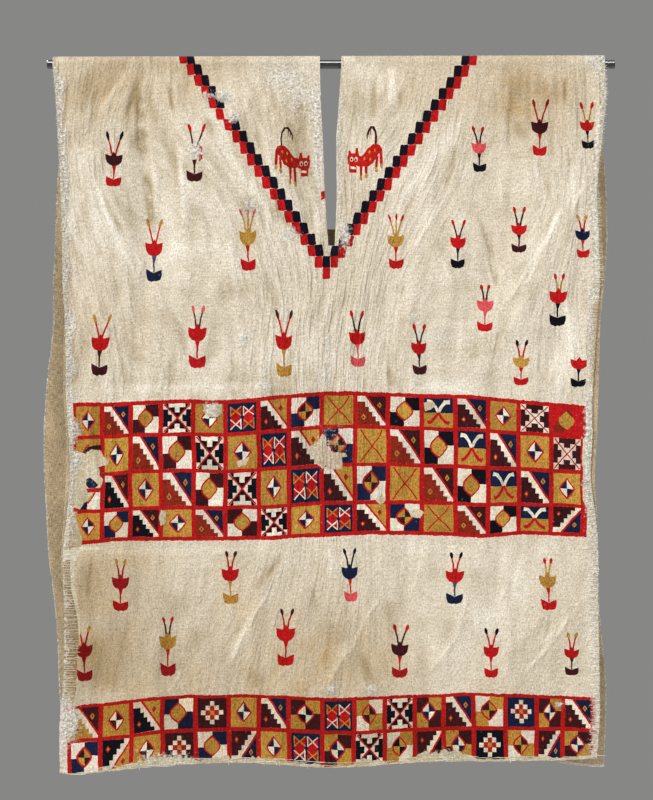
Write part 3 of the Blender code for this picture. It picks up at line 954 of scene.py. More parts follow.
rubbedStrip = [
    (612, 300), (596, 302), (591, 310), (588, 322), (585.6, 336), (585, 350), (587, 362), (590, 372),
    (591, 386),
    (595, 396), (612, 398),
]
paleBorder = [
    (60, 553), (70, 549.6), (100, 548.6), (100, 550.6), (80, 552.4), (75.6, 557), (73.6, 570), (74.4, 588),
    (78.4, 602), (80.4, 620), (80.6, 636), (79, 636), (78, 620), (75, 604), (71.6, 590), (70, 570), (70, 560),
    (62, 562),
]
scraps = [
    # colour, chart points
    ("navy", [(86, 480), (90, 478.6), (94.6, 482), (98, 486), (95, 489), (88.4, 489), (85.4, 485)]),
    ("red", [(86, 489.4), (104, 488.6), (104, 493), (87, 493.4)]),
    ("maroon", [(87, 448), (101, 446), (102.5, 451), (96, 451), (92, 450), (88.6, 453)]),
    ("brick", [(98.6, 468), (103.6, 466.6), (105, 474), (104, 482), (101, 478)]),
    ("red", [(62, 708), (68, 707), (68.6, 713.6), (62.4, 714.6)]),
    ("red", [(320.6, 193), (324.4, 192), (325.6, 200), (321, 201.6)]),
    ("red", [(199, 146), (203, 150), (202.6, 160), (198.6, 163), (200, 155)]),
]
slitStitches = [
    # from, to, colour
    ((338.6, 230), (345.4, 232.4), "black"), ((339, 233.6), (346.4, 236), "pale"),
    ((338.6, 236.6), (346, 239.4), "black"), ((339.6, 240.6), (347, 242.6), "pale"),
    ((340, 244), (345.6, 246.4), "black"), ((341.4, 227), (347, 228.6), "pale"),
]
bareHem = [
    # across, height of the bare warp above the hem, in chart squares
    (60, 1.0), (100, 1.5), (118, 3.0), (140, 8.0), (160, 9.5), (176, 10.5), (192, 8.0), (198, 3.0),
    (226, 7.5),
    (234, 3.5), (256, 7.0), (270, 7.0), (288, 3.0), (320, 3.5), (326, 1.0), (352, 2.5), (360, 8.5),
    (382, 5.0),
    (390, 1.5), (412, 4.5), (424, 10.0), (444, 11.0), (460, 10.0), (470, 6.0), (477, 2.0), (502, 2.0),
    (512, 4.5),
    (530, 4.0), (546, 4.5), (564, 2.5), (576, 4.0), (592, 3.0), (610, 2.0),
]
lossValues = {  # spacing of the outline's points and its roughness, in mm
    "patch": (2.0, 0.3), "strip": (2.5, 0.5), "seam": (4.0, 0.0), "scrap": (3.0, 0.0),
}
stitchWidths = (1.5, 1.2)
bareHemValues = {
    "seed": 41,
    "from": 58.0,
    "to": 606,
    "least": 0.8,
    "ragged": (0.72, 1.2),
    "step": (1.6, 3.4),
    "below": 6,
    "spacing": 4.0,
}


def layLoss(colour, points, kind):  # a worn place, with the spacing and roughness of its kind
    spacing, tooth = lossValues[kind]
    paint(colour, [chart(*point) for point in points], spacing=spacing, tooth=tooth)


def layBareHem(side):
    values = bareHemValues
    upper = []
    lower = []
    ragged = random.Random(values["seed"])
    across = values["from"]
    while across < values["to"]:
        x = (across - chartValues["middle"]) * chartValues["unit"]
        drop = float(curveAt(side["hem"], 1, x))
        rise = float(np.interp(across, [row[0] for row in bareHem], [row[1] for row in bareHem]))
        rise = max(values["least"], rise * ragged.uniform(*values["ragged"])) * chartValues["unit"]
        upper.append((x, -drop + rise))
        lower.append((x, -drop - values["below"]))
        across += ragged.uniform(*values["step"])
    paint("bare", lower + upper[::-1], spacing=values["spacing"])


def roughened(points, spacing, tooth, draw):  # closer points along an outline, moved a little
    placed = []
    for number, start in enumerate(points):
        end = points[(number + 1) % len(points)]
        run = math.hypot(end[0] - start[0], end[1] - start[1])
        count = max(1, int(run / spacing))
        for part in range(count):
            share = part / count
            x = start[0] + (end[0] - start[0]) * share
            y = start[1] + (end[1] - start[1]) * share
            level = abs(end[0] - start[0]) / (run + 1e-9)
            placed.append((x, y + tooth * level * draw.uniform(-1, 1)))
    return placed


weaveValues = {
    "slowSize": 38,
    "slowMove": 1.3,
    "slowSeed": 0.5,
    "fineSize": (4.6, 5.2),
    "fineMove": (0.55, 0.7),
    "fineSeed": 9.5,
    "slowApart": Vector((31, 7, 3)),
    "fineApart": Vector((17, 5, 3)),
}


def warped(point):  # slow wander of the weave, and its fine steps
    values = weaveValues
    slow = Vector((point[0] / values["slowSize"], point[1] / values["slowSize"], values["slowSeed"]))
    fine = Vector((point[0] / values["fineSize"][0], point[1] / values["fineSize"][1], values["fineSeed"]))
    moveX = values["slowMove"] * noise.noise(slow)
    moveY = values["slowMove"] * noise.noise(slow + values["slowApart"])
    fineX = values["fineMove"][0] * noise.noise(fine)
    fineY = values["fineMove"][1] * noise.noise(fine + values["fineApart"])
    return (point[0] + moveX + fineX, point[1] + moveY + fineY)


outlineValues = {
    "spacing": 3.5,
    "crestParts": 40,
    "hemAt": 940.0,
    "sideRagged": 0.8,
    "hemRagged": 0.9,
    "slitRagged": 0.35,
    "slow": 9,
    "fast": 3.1,
    "fastShare": 0.7,
    "slowSeed": 0.3,
    "fastSeed": 4.3,
    "sideSeed": 3.0,
    "hemSeed": 12.0,
    "slitSeed": 5.0,
}


def edgeNoise(place, seed, size):
    values = outlineValues
    slow = noise.noise(Vector((place / values["slow"], seed, values["slowSeed"])))
    fast = noise.noise(Vector((place / values["fast"], seed, values["fastSeed"])))
    return size * (slow + values["fastShare"] * fast)


def outlineOf(side, lining=False, ragged=1.0):  # the flat outline of a panel, anticlockwise, in mm
    values = outlineValues
    shorter = drapeValues["liningHemShorter"] if lining else 0.0

    def edge(sign, depth):
        column = 1 if sign < 0 else 2
        reach = float(curveAt(side["sections"], column, depth))
        past = float(curveAt(side["sections"], column + 2, depth)) if lining else 0.0
        seed = sign * values["sideSeed"] + side["facing"]
        return sign * (reach + past + edgeNoise(depth, seed, values["sideRagged"] * ragged))

    def hem(x):
        uneven = edgeNoise(x, values["hemSeed"] + side["facing"], values["hemRagged"] * ragged)
        return -float(curveAt(side["hem"], 1, x)) + shorter + uneven

    def slit(column, depth):
        uneven = edgeNoise(depth, column * values["slitSeed"], values["slitRagged"] * ragged)
        return float(curveAt(side["slit"], column, depth)) + uneven

    points = []
    low = -hem(edge(-1, values["hemAt"]))
    rows = int((low + crest) / values["spacing"])
    depths = [-crest + (low + crest) * row / rows for row in range(rows + 1)]
    points += [(edge(-1, max(0.0, depth)), -depth) for depth in depths]
    start, end = edge(-1, low), edge(1, -hem(edge(1, values["hemAt"])))
    columns = int((end - start) / values["spacing"])
    hemPlaces = [start + (end - start) * number / columns for number in range(1, columns)]
    points += [(x, hem(x)) for x in hemPlaces]
    low = -hem(end)
    depths = [low - (low + crest) * row / rows for row in range(rows + 1)]
    points += [(edge(1, max(0.0, depth)), -depth) for depth in depths]
    right, left = edge(1, 0.0), edge(-1, 0.0)
    slitRight, slitLeft = slit(2, 0.0), slit(1, 0.0)
    across = values["crestParts"]
    points += [(right + (slitRight - right) * n / across, crest) for n in range(1, across)]
    bottom = side["slit"][-1][0]
    slitRows = int((bottom + crest) / values["spacing"])
    downs = [-crest + (bottom + crest) * row / slitRows for row in range(slitRows + 1)]
    points += [(slit(2, max(0.0, depth)), -depth) for depth in downs]
    points += [(slit(1, max(0.0, depth)), -depth) for depth in reversed(downs)]
    points += [(slitLeft + (left - slitLeft) * n / across, crest) for n in range(1, across)]
    return points


def anticlockwise(points):
    area = sum(a[0] * b[1] - b[0] * a[1] for a, b in zip(points, points[1:] + points[:1]))
    return points if area > 0 else points[::-1]


meshValues = {
    "creaseSpacing": 3.2,
    "creaseFewest": 4,
    "creaseAsides": (-1.5, -0.8, -0.35, 0.0, 0.35, 0.8, 1.5),
    "rowShare": 0.866,
    "sameWithin": 0.004,
    "bakeMargin": 0.004,
    "bakeOuterWide": 0.93,
    "bakeInnerFrom": 0.945,
    "bakeInnerWide": 0.05,
    "bakeTall": 0.992,
}


def creasePoints(creases):  # closer points along each sharp crease, so that the mesh can follow it
    points = []
    for fromAcross, fromBelow, toAcross, toBelow, halfWidth, _ in creases:
        runAcross, runBelow = toAcross - fromAcross, toBelow - fromBelow
        length = math.hypot(runAcross, runBelow)
        count = max(meshValues["creaseFewest"], int(length / meshValues["creaseSpacing"]))
        for number in range(count + 1):
            share = number / count
            for aside in meshValues["creaseAsides"]:
                x = fromAcross + runAcross * share + aside * halfWidth * runBelow / length
                y = fromBelow + runBelow * share - aside * halfWidth * runAcross / length
                points.append((x, -y))
    return points


def triangulate(outline, shapes, spacing, more=()):  # flat points, triangles and the topmost shape over each
    points = list(outline)
    faces = [list(range(len(outline)))]
    for shape in shapes:
        faces.append(list(range(len(points), len(points) + len(shape))))
        points += shape
    flat = np.array(outline)
    low, high = flat.min(0), flat.max(0)
    row = 0
    y = low[1]
    while y < high[1]:
        x = low[0] + (row % 2) * spacing / 2
        while x < high[0]:
            points.append((x, y))
            x += spacing
        y += spacing * meshValues["rowShare"]
        row += 1
    points += more
    sameWithin = meshValues["sameWithin"]
    found = delaunay_2d_cdt([Vector(point) for point in points], [], faces, 1, sameWithin, True)
    places, triangles, cameFrom, layers = found[0], found[2], found[3], found[5]
    kept = [(face, max(layer)) for face, layer in zip(triangles, layers) if 0 in layer and len(face) == 3]
    used = sorted({corner for face, _ in kept for corner in face})
    renumber = {old: new for new, old in enumerate(used)}
    inputPlace = {}
    for number, sources in enumerate(cameFrom):
        for source in sources:
            inputPlace[source] = number
    loop = [renumber[inputPlace[n]] for n in range(len(outline)) if inputPlace.get(n) in renumber]
    flatPlaces = np.array([places[old][:] for old in used])
    corners = np.array([[renumber[corner] for corner in face] for face, _ in kept])
    return flatPlaces, corners, np.array([layer for _, layer in kept]), loop


def meshOf(name, places, faces):
    mesh = bpy.data.meshes.new(name)
    mesh.from_pydata(places.tolist(), [], [list(map(int, face)) for face in faces])
    mesh.update()
    return mesh


def addObject(name, mesh, material):
    piece = bpy.data.objects.new(name, mesh)
    scene.collection.objects.link(piece)
    mesh.materials.append(material)
    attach(piece, "root")
    return piece


def setAttribute(mesh, name, kind, domain, values):
    made = mesh.attributes.new(name, kind, domain)
    field = {"FLOAT": "value", "FLOAT_VECTOR": "vector", "FLOAT_COLOR": "color"}[kind]
    made.data.foreach_set(field, np.asarray(values, np.float32).ravel())


def edgeAfter(faces):  # for each point on a sheet's edge, the next one round it
    steps = np.concatenate([faces[:, [0, 1]], faces[:, [1, 2]], faces[:, [2, 0]]]).tolist()
    known = {(start, end) for start, end in steps}
    return {start: end for start, end in known if (end, start) not in known}


def shellOf(name, side, outer, inner, insets, fines):  # a closed wall between an outer and an inner face
    outerFlat, outerFaces, loopOuter = outer
    innerFlat, innerFaces, loopInner = inner
    places = np.concatenate([
        drape(side, outerFlat, insets[0], fines[0]),
        drape(side, innerFlat, insets[1], fines[1]),
    ])
    shift = len(outerFlat)
    flip = side["facing"] > 0
    order = [0, 2, 1]
    outerSet = outerFaces[:, order] if flip else outerFaces
    innerSet = (innerFaces if flip else innerFaces[:, order]) + shift
    rim = []
    posts = dict(zip(loopOuter, loopInner))
    following = edgeAfter(outerFaces)
    place, post = loopOuter[0], loopInner[0] + shift
    for _ in range(len(following)):
        after = following[place]
        rim.append([place, post, after])
        if after in posts:
            rim.append([post, posts[after] + shift, after])
            post = posts[after] + shift
        place = after
        if place == loopOuter[0]:
            break
    rim = np.array(rim)
    rim = rim[:, order] if flip else rim
    mesh = meshOf(name, places, np.concatenate([outerSet, innerSet, rim]))
    flat = np.concatenate([outerFlat, innerFlat])
    normals = np.concatenate([
        drapeNormals(side, outerFlat, insets[0], fines[0]),
        -drapeNormals(side, innerFlat, insets[1], fines[1]),
    ])
    mesh.shade_smooth()
    mesh.normals_split_custom_set_from_vertices(normals.tolist())
    setAttribute(mesh, "flat", "FLOAT_VECTOR", "POINT",
                 np.concatenate([flat, np.zeros((len(flat), 1))], 1) * mm)
    low, high = flat.min(0), flat.max(0)
    share = (flat - low) / (high - low)
    share[:shift, 0] = meshValues["bakeMargin"] + share[:shift, 0] * meshValues["bakeOuterWide"]
    share[shift:, 0] = meshValues["bakeInnerFrom"] + share[shift:, 0] * meshValues["bakeInnerWide"]
    share[:, 1] = meshValues["bakeMargin"] + share[:, 1] * meshValues["bakeTall"]
    corner = np.zeros(len(mesh.loops), np.int32)
    mesh.loops.foreach_get("vertex_index", corner)
    layer = mesh.uv_layers.new(name="OFBake")
    layer.uv.foreach_set("vector", share[corner].astype(np.float32).ravel())
    return mesh, len(outerSet)


# Wear, stains, and painted shade and highlight, in chart squares
wearSpots = [
    # across, down, halfWide, halfTall, strength
    (280, 75, 26, 18, 0.40), (300, 100, 20, 22, 0.36), (223, 97, 8, 6, 0.85), (234, 118, 6, 6, 0.85),
    (250, 205, 9, 8, 0.5), (290, 235, 10, 7, 0.55), (345, 235, 6, 16, 0.6), (594, 60, 12, 8, 0.6),
    (206, 96, 5, 4, 0.55), (265, 388, 9, 8, 0.55), (196, 152, 7, 8, 0.7),
    (590, 338, 4, 40, 0.6), (592, 402, 6, 9, 0.6), (244, 340, 6, 8, 0.5), (325, 376, 8, 10, 0.45),
    (318, 140, 6, 60, 0.55), (339, 150, 3.4, 70, 0.45), (412, 318, 5, 7, 0.5), (328, 345, 6, 12, 0.4),
    (330, 445, 22, 24, 0.22), (86, 470, 18, 22, 0.22), (591, 470, 4, 60, 0.5), (212, 410, 9, 8, 0.5),
    (150, 760, 18, 10, 0.32), (180, 762, 16, 10, 0.36), (445, 758, 20, 8, 0.32), (70, 725, 10, 20, 0.6),
    (560, 706, 6, 4, 0.5), (330, 690, 8, 6, 0.5), (372, 690, 8, 6, 0.5), (440, 340, 10, 16, 0.35),
]
edgeWear = {  # lengths in mm
    "left": 11.0,
    "right": 11.0,
    "strength": 0.85,
    "everywhere": 0.10,
    "patchMean": 0.75,
    "patchSwing": 0.9,
    "patchLong": 22,
    "patchSeed": (5.3, 1.7),
    "leftFade": (640.0, 520.0),
    "leftLowShare": 0.45,
    "rightShare": 0.7,
    "rightGap": (312, 330, 434, 452),
    "rightGapShare": 0.85,
}
grainValues = {  # the wander in mm, the rest in chart squares and shares
    "wander": 9.0,
    "wanderSize": (70, 90),
    "wanderSeed": 3.1,
    "lowFrom": (480, 550),
    "lowShare": 0.45,
    "topFrom": (110, 70),
    "topShare": 0.7,
    "rightFrom": (320, 400),
    "rightShare": 0.55,
    "backShare": 0.6,
    # share of painted highlight on the sharp creases' ridges and painted shade in their hollows
    "creasePaintedShade": 0.55,
}
leanSpots = [
    # across, down, halfWide, halfTall, how far the streaks run to the right for each step down
    (105, 225, 55, 60, 0.42), (110, 98, 40, 34, -0.45), (168, 160, 40, 60, 0.20), (232, 165, 55, 70, 0.50),
    (285, 240, 45, 45, 0.40), (425, 165, 55, 70, -0.50), (400, 250, 45, 45, -0.45), (472, 255, 40, 45, 0.28),
    (548, 245, 50, 60, -0.50), (534, 172, 36, 34, 0.30), (345, 305, 40, 40, -0.35), (575, 330, 40, 50, 0.15),
    (245, 635, 50, 50, -0.45), (285, 580, 45, 40, -0.40), (372, 668, 36, 34, 0.30), (545, 640, 50, 50, -0.50),
    (340, 660, 40, 34, -0.35), (130, 330, 60, 50, 0.10), (480, 340, 60, 50, -0.15),
]
stainSpots = [
    # across, down, halfWide, halfTall, strength
    (105, 90, 75, 46, 0.58), (542, 98, 72, 48, 0.5), (512, 92, 34, 32, 0.34), (290, 112, 26, 30, 0.3),
    (200, 75, 60, 24, 0.35), (430, 90, 50, 40, 0.3),
    (84, 330, 28, 60, 0.35), (150, 330, 40, 50, 0.25), (236, 290, 26, 46, 0.12), (330, 300, 40, 40, 0.15),
    (95, 640, 60, 80, 0.60), (200, 690, 90, 40, 0.4), (240, 600, 40, 60, 0.3), (120, 560, 60, 30, 0.35),
    (330, 650, 70, 60, 0.45), (310, 690, 60, 40, 0.3), (390, 670, 30, 40, 0.3), (560, 640, 40, 60, 0.25),
    (490, 700, 40, 30, 0.25),
    (246, 150, 24, 40, 0.25), (352, 210, 16, 34, 0.25), (284, 384, 20, 12, 0.35), (500, 240, 30, 50, 0.2),
]
# Painted shade and painted highlight: soft darker streaks in fold hollows, along the shoulder line, over the
# lower left and above the hem, paler streaks on fold ridges
paintedShadeStrokes = [
    # fromAcross, fromDown, toAcross, toDown, halfWidth, strength: below nought painted shade, above nought
    # painted highlight
    (137, 84, 142, 160, 3.6, -0.95), (147, 168, 152, 232, 3.6, -0.9), (150, 100, 165, 150, 4, -0.35),
    (128, 100, 133, 160, 6, -0.3), (85, 72, 100, 104, 32, -0.42), (60, 62, 320, 62, 9, -0.3),
    (345, 62, 600, 62, 9, -0.25), (300, 90, 306, 210, 13, -0.55), (285, 120, 296, 190, 8, -0.3),
    (360, 75, 356, 120, 14, -0.5), (380, 90, 372, 125, 9, -0.3), (412, 70, 402, 110, 8, -0.3),
    (522, 72, 533, 100, 16, -0.22), (548, 78, 558, 108, 14, -0.2), (503, 66, 505, 96, 3, -0.3),
    (511, 70, 512, 118, 2.5, -0.4), (519, 68, 520, 104, 3, -0.4), (528, 74, 529, 130, 2.5, -0.45),
    (537, 68, 538, 100, 3, -0.45), (545, 80, 546, 112, 2.5, -0.35), (555, 72, 556, 106, 3, -0.34),
    (564, 78, 566, 110, 3, -0.36), (573, 66, 574, 98, 3, -0.35), (583, 68, 585, 90, 3, -0.3),
    (517, 120, 519, 140, 4, -0.45), (514, 154, 520, 163, 5, -0.3), (533, 66, 533, 84, 1.8, 0.35),
    (550, 66, 551, 90, 2.0, 0.35), (507, 80, 508, 112, 1.8, 0.3),
    (524, 125, 526, 165, 7, -0.25), (553, 120, 552, 160, 9, -0.2),
    (270, 205, 298, 238, 7, -0.4), (247, 196, 249, 214, 9, -0.35), (140, 290, 285, 292, 6, -0.12),
    (60, 345, 78, 392, 9, -0.45), (262, 388, 300, 391, 7, -0.5), (385, 368, 396, 390, 7, -0.4),
    (489, 225, 497, 292, 2.0, -0.35), (480, 215, 492, 262, 3, -0.15), (519, 262, 522, 300, 5, -0.3),
    (505, 190, 512, 240, 4, -0.25), (208, 120, 212, 140, 4, -0.4), (84, 560, 90, 620, 14, -0.25),
    (170, 590, 172, 625, 12, -0.25), (198, 625, 190, 655, 12, -0.2), (272, 566, 256, 592, 5, -0.5),
    (332, 622, 334, 650, 12, -0.3), (362, 655, 374, 690, 4, -0.6), (250, 672, 262, 688, 8, -0.45),
    (388, 600, 392, 640, 6, -0.35), (80, 640, 110, 695, 22, -0.6), (330, 600, 330, 680, 45, -0.14),
    (300, 330, 360, 330, 30, 0.14), (420, 640, 428, 690, 5, -0.3),
    (450, 620, 440, 660, 4, -0.3), (505, 630, 488, 690, 5, -0.25),
    (206, 108, 232, 150, 2.0, 0.6), (196, 120, 248, 204, 2.0, 0.5), (216, 130, 262, 204, 1.8, 0.5),
    (211, 118, 230, 150, 1.6, -0.5), (204, 128, 238, 184, 1.6, -0.35), (112, 202, 140, 262, 2.0, 0.45),
    (86, 180, 104, 232, 2.0, 0.4), (104, 197, 123, 240, 1.8, -0.4), (168, 84, 173, 116, 2.4, -0.5),
    (170, 132, 179, 188, 2.4, -0.55), (255, 112, 268, 138, 1.8, -0.5), (246, 116, 256, 136, 1.8, 0.5),
    (98, 190, 117, 245, 5, 0.6), (95, 240, 205, 275, 26, 0.18), (184, 180, 191, 236, 4, 0.5),
    (205, 125, 296, 256, 5, 0.5), (470, 108, 388, 222, 5, 0.5), (566, 200, 518, 292, 4, 0.25),
    (553, 222, 530, 268, 3, 0.15), (572, 165, 566, 210, 6, 0.4), (572, 300, 566, 390, 14, 0.45),
    (450, 212, 470, 228, 6, 0.35), (100, 389, 345, 386, 3.5, 0.45), (420, 389, 470, 390, 4, 0.45),
    (392, 66, 394, 108, 3.5, 0.5), (378, 64, 380, 100, 3, 0.35), (126, 72, 102, 116, 3, 0.5),
    (256, 612, 233, 658, 4, 0.6), (292, 556, 258, 614, 5, 0.4), (98, 553, 268, 550, 3.5, 0.4),
    (325, 550, 336, 575, 6, 0.35), (395, 548, 460, 552, 6, 0.35), (470, 612, 500, 618, 8, 0.4),
    (566, 618, 538, 648, 4, 0.5), (520, 555, 522, 612, 7, 0.35), (592, 560, 592, 690, 6, 0.35),
    (350, 640, 322, 690, 4, 0.4), (330, 600, 300, 640, 5, 0.25), (167, 205, 177, 270, 5, 0.3),
    (70, 738, 600, 738, 26, -0.32), (70, 570, 200, 700, 60, -0.32), (500, 560, 590, 690, 60, 0.10),
    (430, 250, 570, 330, 60, 0.04),
    (75, 112, 105, 112, 26, -0.14), (75, 207, 110, 207, 28, -0.14), (300, 590, 330, 590, 32, -0.12),
    (70, 580, 95, 580, 24, -0.12), (500, 620, 530, 620, 32, -0.10), (578, 300, 578, 345, 14, -0.14),
]
backWear = [(280, 72, 26, 14, 0.3), (380, 74, 30, 14, 0.28), (120, 300, 20, 26, 0.2), (470, 560, 26, 20, 0.2)]
backStains = [
    # across, down, halfWide, halfTall, strength
    (150, 100, 90, 44, 0.4), (500, 96, 80, 46, 0.4), (130, 610, 80, 110, 0.3), (400, 690, 120, 50, 0.3),
    (330, 330, 90, 80, 0.16), (540, 420, 50, 90, 0.2),
]
# Painted shade and painted highlight on the back, in the same soft streaks
backPaintedShadeStrokes = [
    # fromAcross, fromDown, toAcross, toDown, halfWidth, strength: below nought painted shade, above nought
    # painted highlight
    (60, 62, 600, 62, 9, -0.25), (150, 110, 160, 220, 6, -0.3), (470, 120, 456, 240, 6, -0.3),
    (110, 190, 134, 270, 6, 0.35), (540, 210, 510, 300, 5, 0.4), (250, 580, 232, 650, 5, 0.3),
    (420, 600, 440, 680, 8, -0.25), (200, 560, 205, 640, 10, -0.2),
]


def onChart(flat):  # flat places in mm as chart squares across and down
    unit = chartValues["unit"]
    return flat[:, 0] / unit + chartValues["middle"], chartValues["rodLine"] - flat[:, 1] / unit


def paintedShadeAt(side, strokes, flat):  # painted shade and painted highlight in soft streaks, drawn like the folds
    across, down = onChart(flat)
    paintedShadeAndTone = sum(foldHeight(row, across, down) for row in strokes)
    for crease in side["sharpCreases"]:  # painted highlight on its ridges, painted shade in its hollows
        paintedShadeAndTone = paintedShadeAndTone + grainValues["creasePaintedShade"] * foldHeight(crease, flat[:, 0], -flat[:, 1])
    return np.clip(paintedShadeAndTone, -1, 1)


def grainAt(side, flat):  # places in metres, shifted so that streaks lean, and how lively the streaks are
    values = grainValues
    across, down = onChart(flat)
    shift = np.zeros(len(flat))
    for middle, level, halfWide, halfTall, lean in leanSpots:
        reach = np.exp(-((across - middle) / halfWide) ** 2)
        shift += lean * reach * halfTall * np.tanh((down - level) / halfTall)
    wide, tall = values["wanderSize"]
    wander = np.array([noise.noise(Vector((x / wide, y / tall, values["wanderSeed"]))) for x, y in flat])
    lively = 1 - (1 - values["lowShare"]) * smoothStep(*values["lowFrom"], down)
    lively = lively * (1 - (1 - values["topShare"]) * smoothStep(*values["topFrom"], down))
    if side is back:
        lively = lively * values["backShare"]
    else:
        lively = lively * (1 - (1 - values["rightShare"]) * smoothStep(*values["rightFrom"], across))
    moved = flat[:, 0] - shift * chartValues["unit"] + wander * values["wander"]
    return np.stack([moved * mm, flat[:, 1] * mm, lively], 1)


def spotSum(spots, flat):
    total = np.zeros(len(flat))
    for across, down, halfWide, halfTall, strength in spots:
        x, y = chart(across, down)
        unit = chartValues["unit"]
        away = ((flat[:, 0] - x) / (halfWide * unit)) ** 2 + ((flat[:, 1] - y) / (halfTall * unit)) ** 2
        total += strength * np.exp(-away)
    return np.clip(total, 0, 1)


def wearAt(side, flat, spots):
    values = edgeWear
    depth = np.clip(-flat[:, 1], 0, None)
    fromLeft = flat[:, 0] + curveAt(side["sections"], 1, depth)
    fromRight = curveAt(side["sections"], 2, depth) - flat[:, 0]
    spans = depth / values["patchLong"]
    patches = np.array([noise.noise(Vector((span, *values["patchSeed"]))) for span in spans])
    patchy = values["patchMean"] + values["patchSwing"] * patches
    left = values["strength"] * np.exp(-((fromLeft / (values["left"] * patchy)) ** 2))
    lowShare = values["leftLowShare"]
    left = left * (lowShare + (1 - lowShare) * smoothStep(*values["leftFade"], depth))
    right = values["strength"] * values["rightShare"] * np.exp(-((fromRight / values["right"]) ** 2))
    starts, full, fades, ends = values["rightGap"]
    gap = smoothStep(starts, full, depth) * smoothStep(ends, fades, depth)
    right = right * (1 - values["rightGapShare"] * gap)
    return np.clip(values["everywhere"] + spotSum(spots, flat) + left + right, 0, 1)


# Materials
def newMaterial(name):
    made = bpy.data.materials.new(name)
    made.use_nodes = True
    return made, made.node_tree, made.node_tree.nodes["Principled BSDF"]


def addNode(tree, kind, **values):
    node = tree.nodes.new(kind)
    for key, value in values.items():
        if hasattr(node, key):
            setattr(node, key, value)
        else:
            node.inputs[key].default_value = value
    return node


def maths(tree, operation, first, second=None, third=None):
    node = addNode(tree, "ShaderNodeMath", operation=operation)
    for socket, value in zip(node.inputs, (first, second, third)):
        if value is None:
            continue
        if isinstance(value, (int, float)):
            socket.default_value = value
        else:
            tree.links.new(value, socket)
    return node.outputs[0]


def blendColour(tree, share, first, second, kind="MIX"):
    node = addNode(tree, "ShaderNodeMix", data_type="RGBA", blend_type=kind)
    for socket, value in zip((node.inputs[0], node.inputs[6], node.inputs[7]), (share, first, second)):
        if isinstance(value, (int, float)):
            socket.default_value = value
        elif isinstance(value, tuple):
            socket.default_value = (*value[:3], 1.0)
        else:
            tree.links.new(value, socket)
    return node.outputs[2]


def stretchedNoise(tree, vector, scale, detail, rough=0.55):
    stretch = addNode(tree, "ShaderNodeVectorMath", operation="MULTIPLY")
    if isinstance(scale, tuple):
        stretch.inputs[1].default_value = scale
    else:
        tree.links.new(scale, stretch.inputs[1])
    tree.links.new(vector, stretch.inputs[0])
    grain = addNode(tree, "ShaderNodeTexNoise", Scale=1.0, Detail=detail, Roughness=rough)
    tree.links.new(stretch.outputs[0], grain.inputs["Vector"])
    return grain.outputs["Fac"]


def centred(tree, value, share, base):  # a base raised and lowered by a noise about its middle
    return maths(tree, "MULTIPLY_ADD", maths(tree, "SUBTRACT", value, 0.5), share, base)


def limited(tree, value):  # kept between nought and one
    return maths(tree, "MINIMUM", maths(tree, "MAXIMUM", value, 0.0), 1.0)


def groupWith(name, inputs, outputs):
    tree = bpy.data.node_groups.new(name, "ShaderNodeTree")
    for label, kind in inputs:
        tree.interface.new_socket(label, in_out="INPUT", socket_type=kind)
    for label, kind in outputs:
        tree.interface.new_socket(label, in_out="OUTPUT", socket_type=kind)
    return tree, tree.nodes.new("NodeGroupInput"), tree.nodes.new("NodeGroupOutput")


woolGrains = {
    # name: the places it follows, scale, detail, roughness
    "drift": ("lean", (95, 17, 0), 2, 0.5),
    "streak": ("lean", (240, 62, 0), 4, 0.65),
    "strand": ("flat", (560, 210, 1), 3, 0.55),
    "fleck": ("flat", (470, 430, 1), 3, 0.65),
    "cloud": ("lean", (26, 17, 0), 5, 0.6),
    "rib": ("flat", (70, 430, 1), 2, 0.55),
    "pleat": ("flat", (135, 24, 1), 2, 0.55),
    "tuft": ("flat", (190, 170, 1), 5, 0.75),
    "loop": ("flat", (270, 250, 1), 2, 0.5),
    "bend": ("lean", (70, 12, 0), 2, 0.5),
}
woolValues = {
    "light": {"streak": 0.4, "strand": 0.78, "fleck": 1.15, "rib": 0.26},
    "darkDyes": {"From Min": 0.0, "From Max": 0.35, "To Min": 1.7, "To Max": 1.0},
    "darkest": 0.05,
    "warmth": (1.0, 1.15, 1.5),
    "paintedShadeStrength": 1.15,
    "cloudTone": 1.8,
    "driftPaintedShade": 1.8,
    "crinklePaintedShade": (-1.1, 0.09),
    # tints of the painted shade and the painted highlight
    "paintedShadeTint": (0.60, 0.54, 0.42),
    "paintedHighlightTint": (1.26, 1.34, 1.45),
    "stainTint": srgb(207, 183, 139),
    "stainPatches": (3.2, -0.75),
    "wearPatch": 0.62,
    "tuftPatch": 0.9,
    "worn": {"From Min": 0.62, "From Max": 0.82},
    "wornShare": 0.82,
    "paleness": 0.88,
    "fleckPale": 1.5,
    "loopPale": 2.0,
    "fuzzHeight": (1.5, 0.15),
    "weaveHeight": 0.25,
    "pleatHeight": 0.2,
    "ridgeHeight": -2.2,
    "streakHeight": 0.3,
    "driftHeight": 1.5,
}


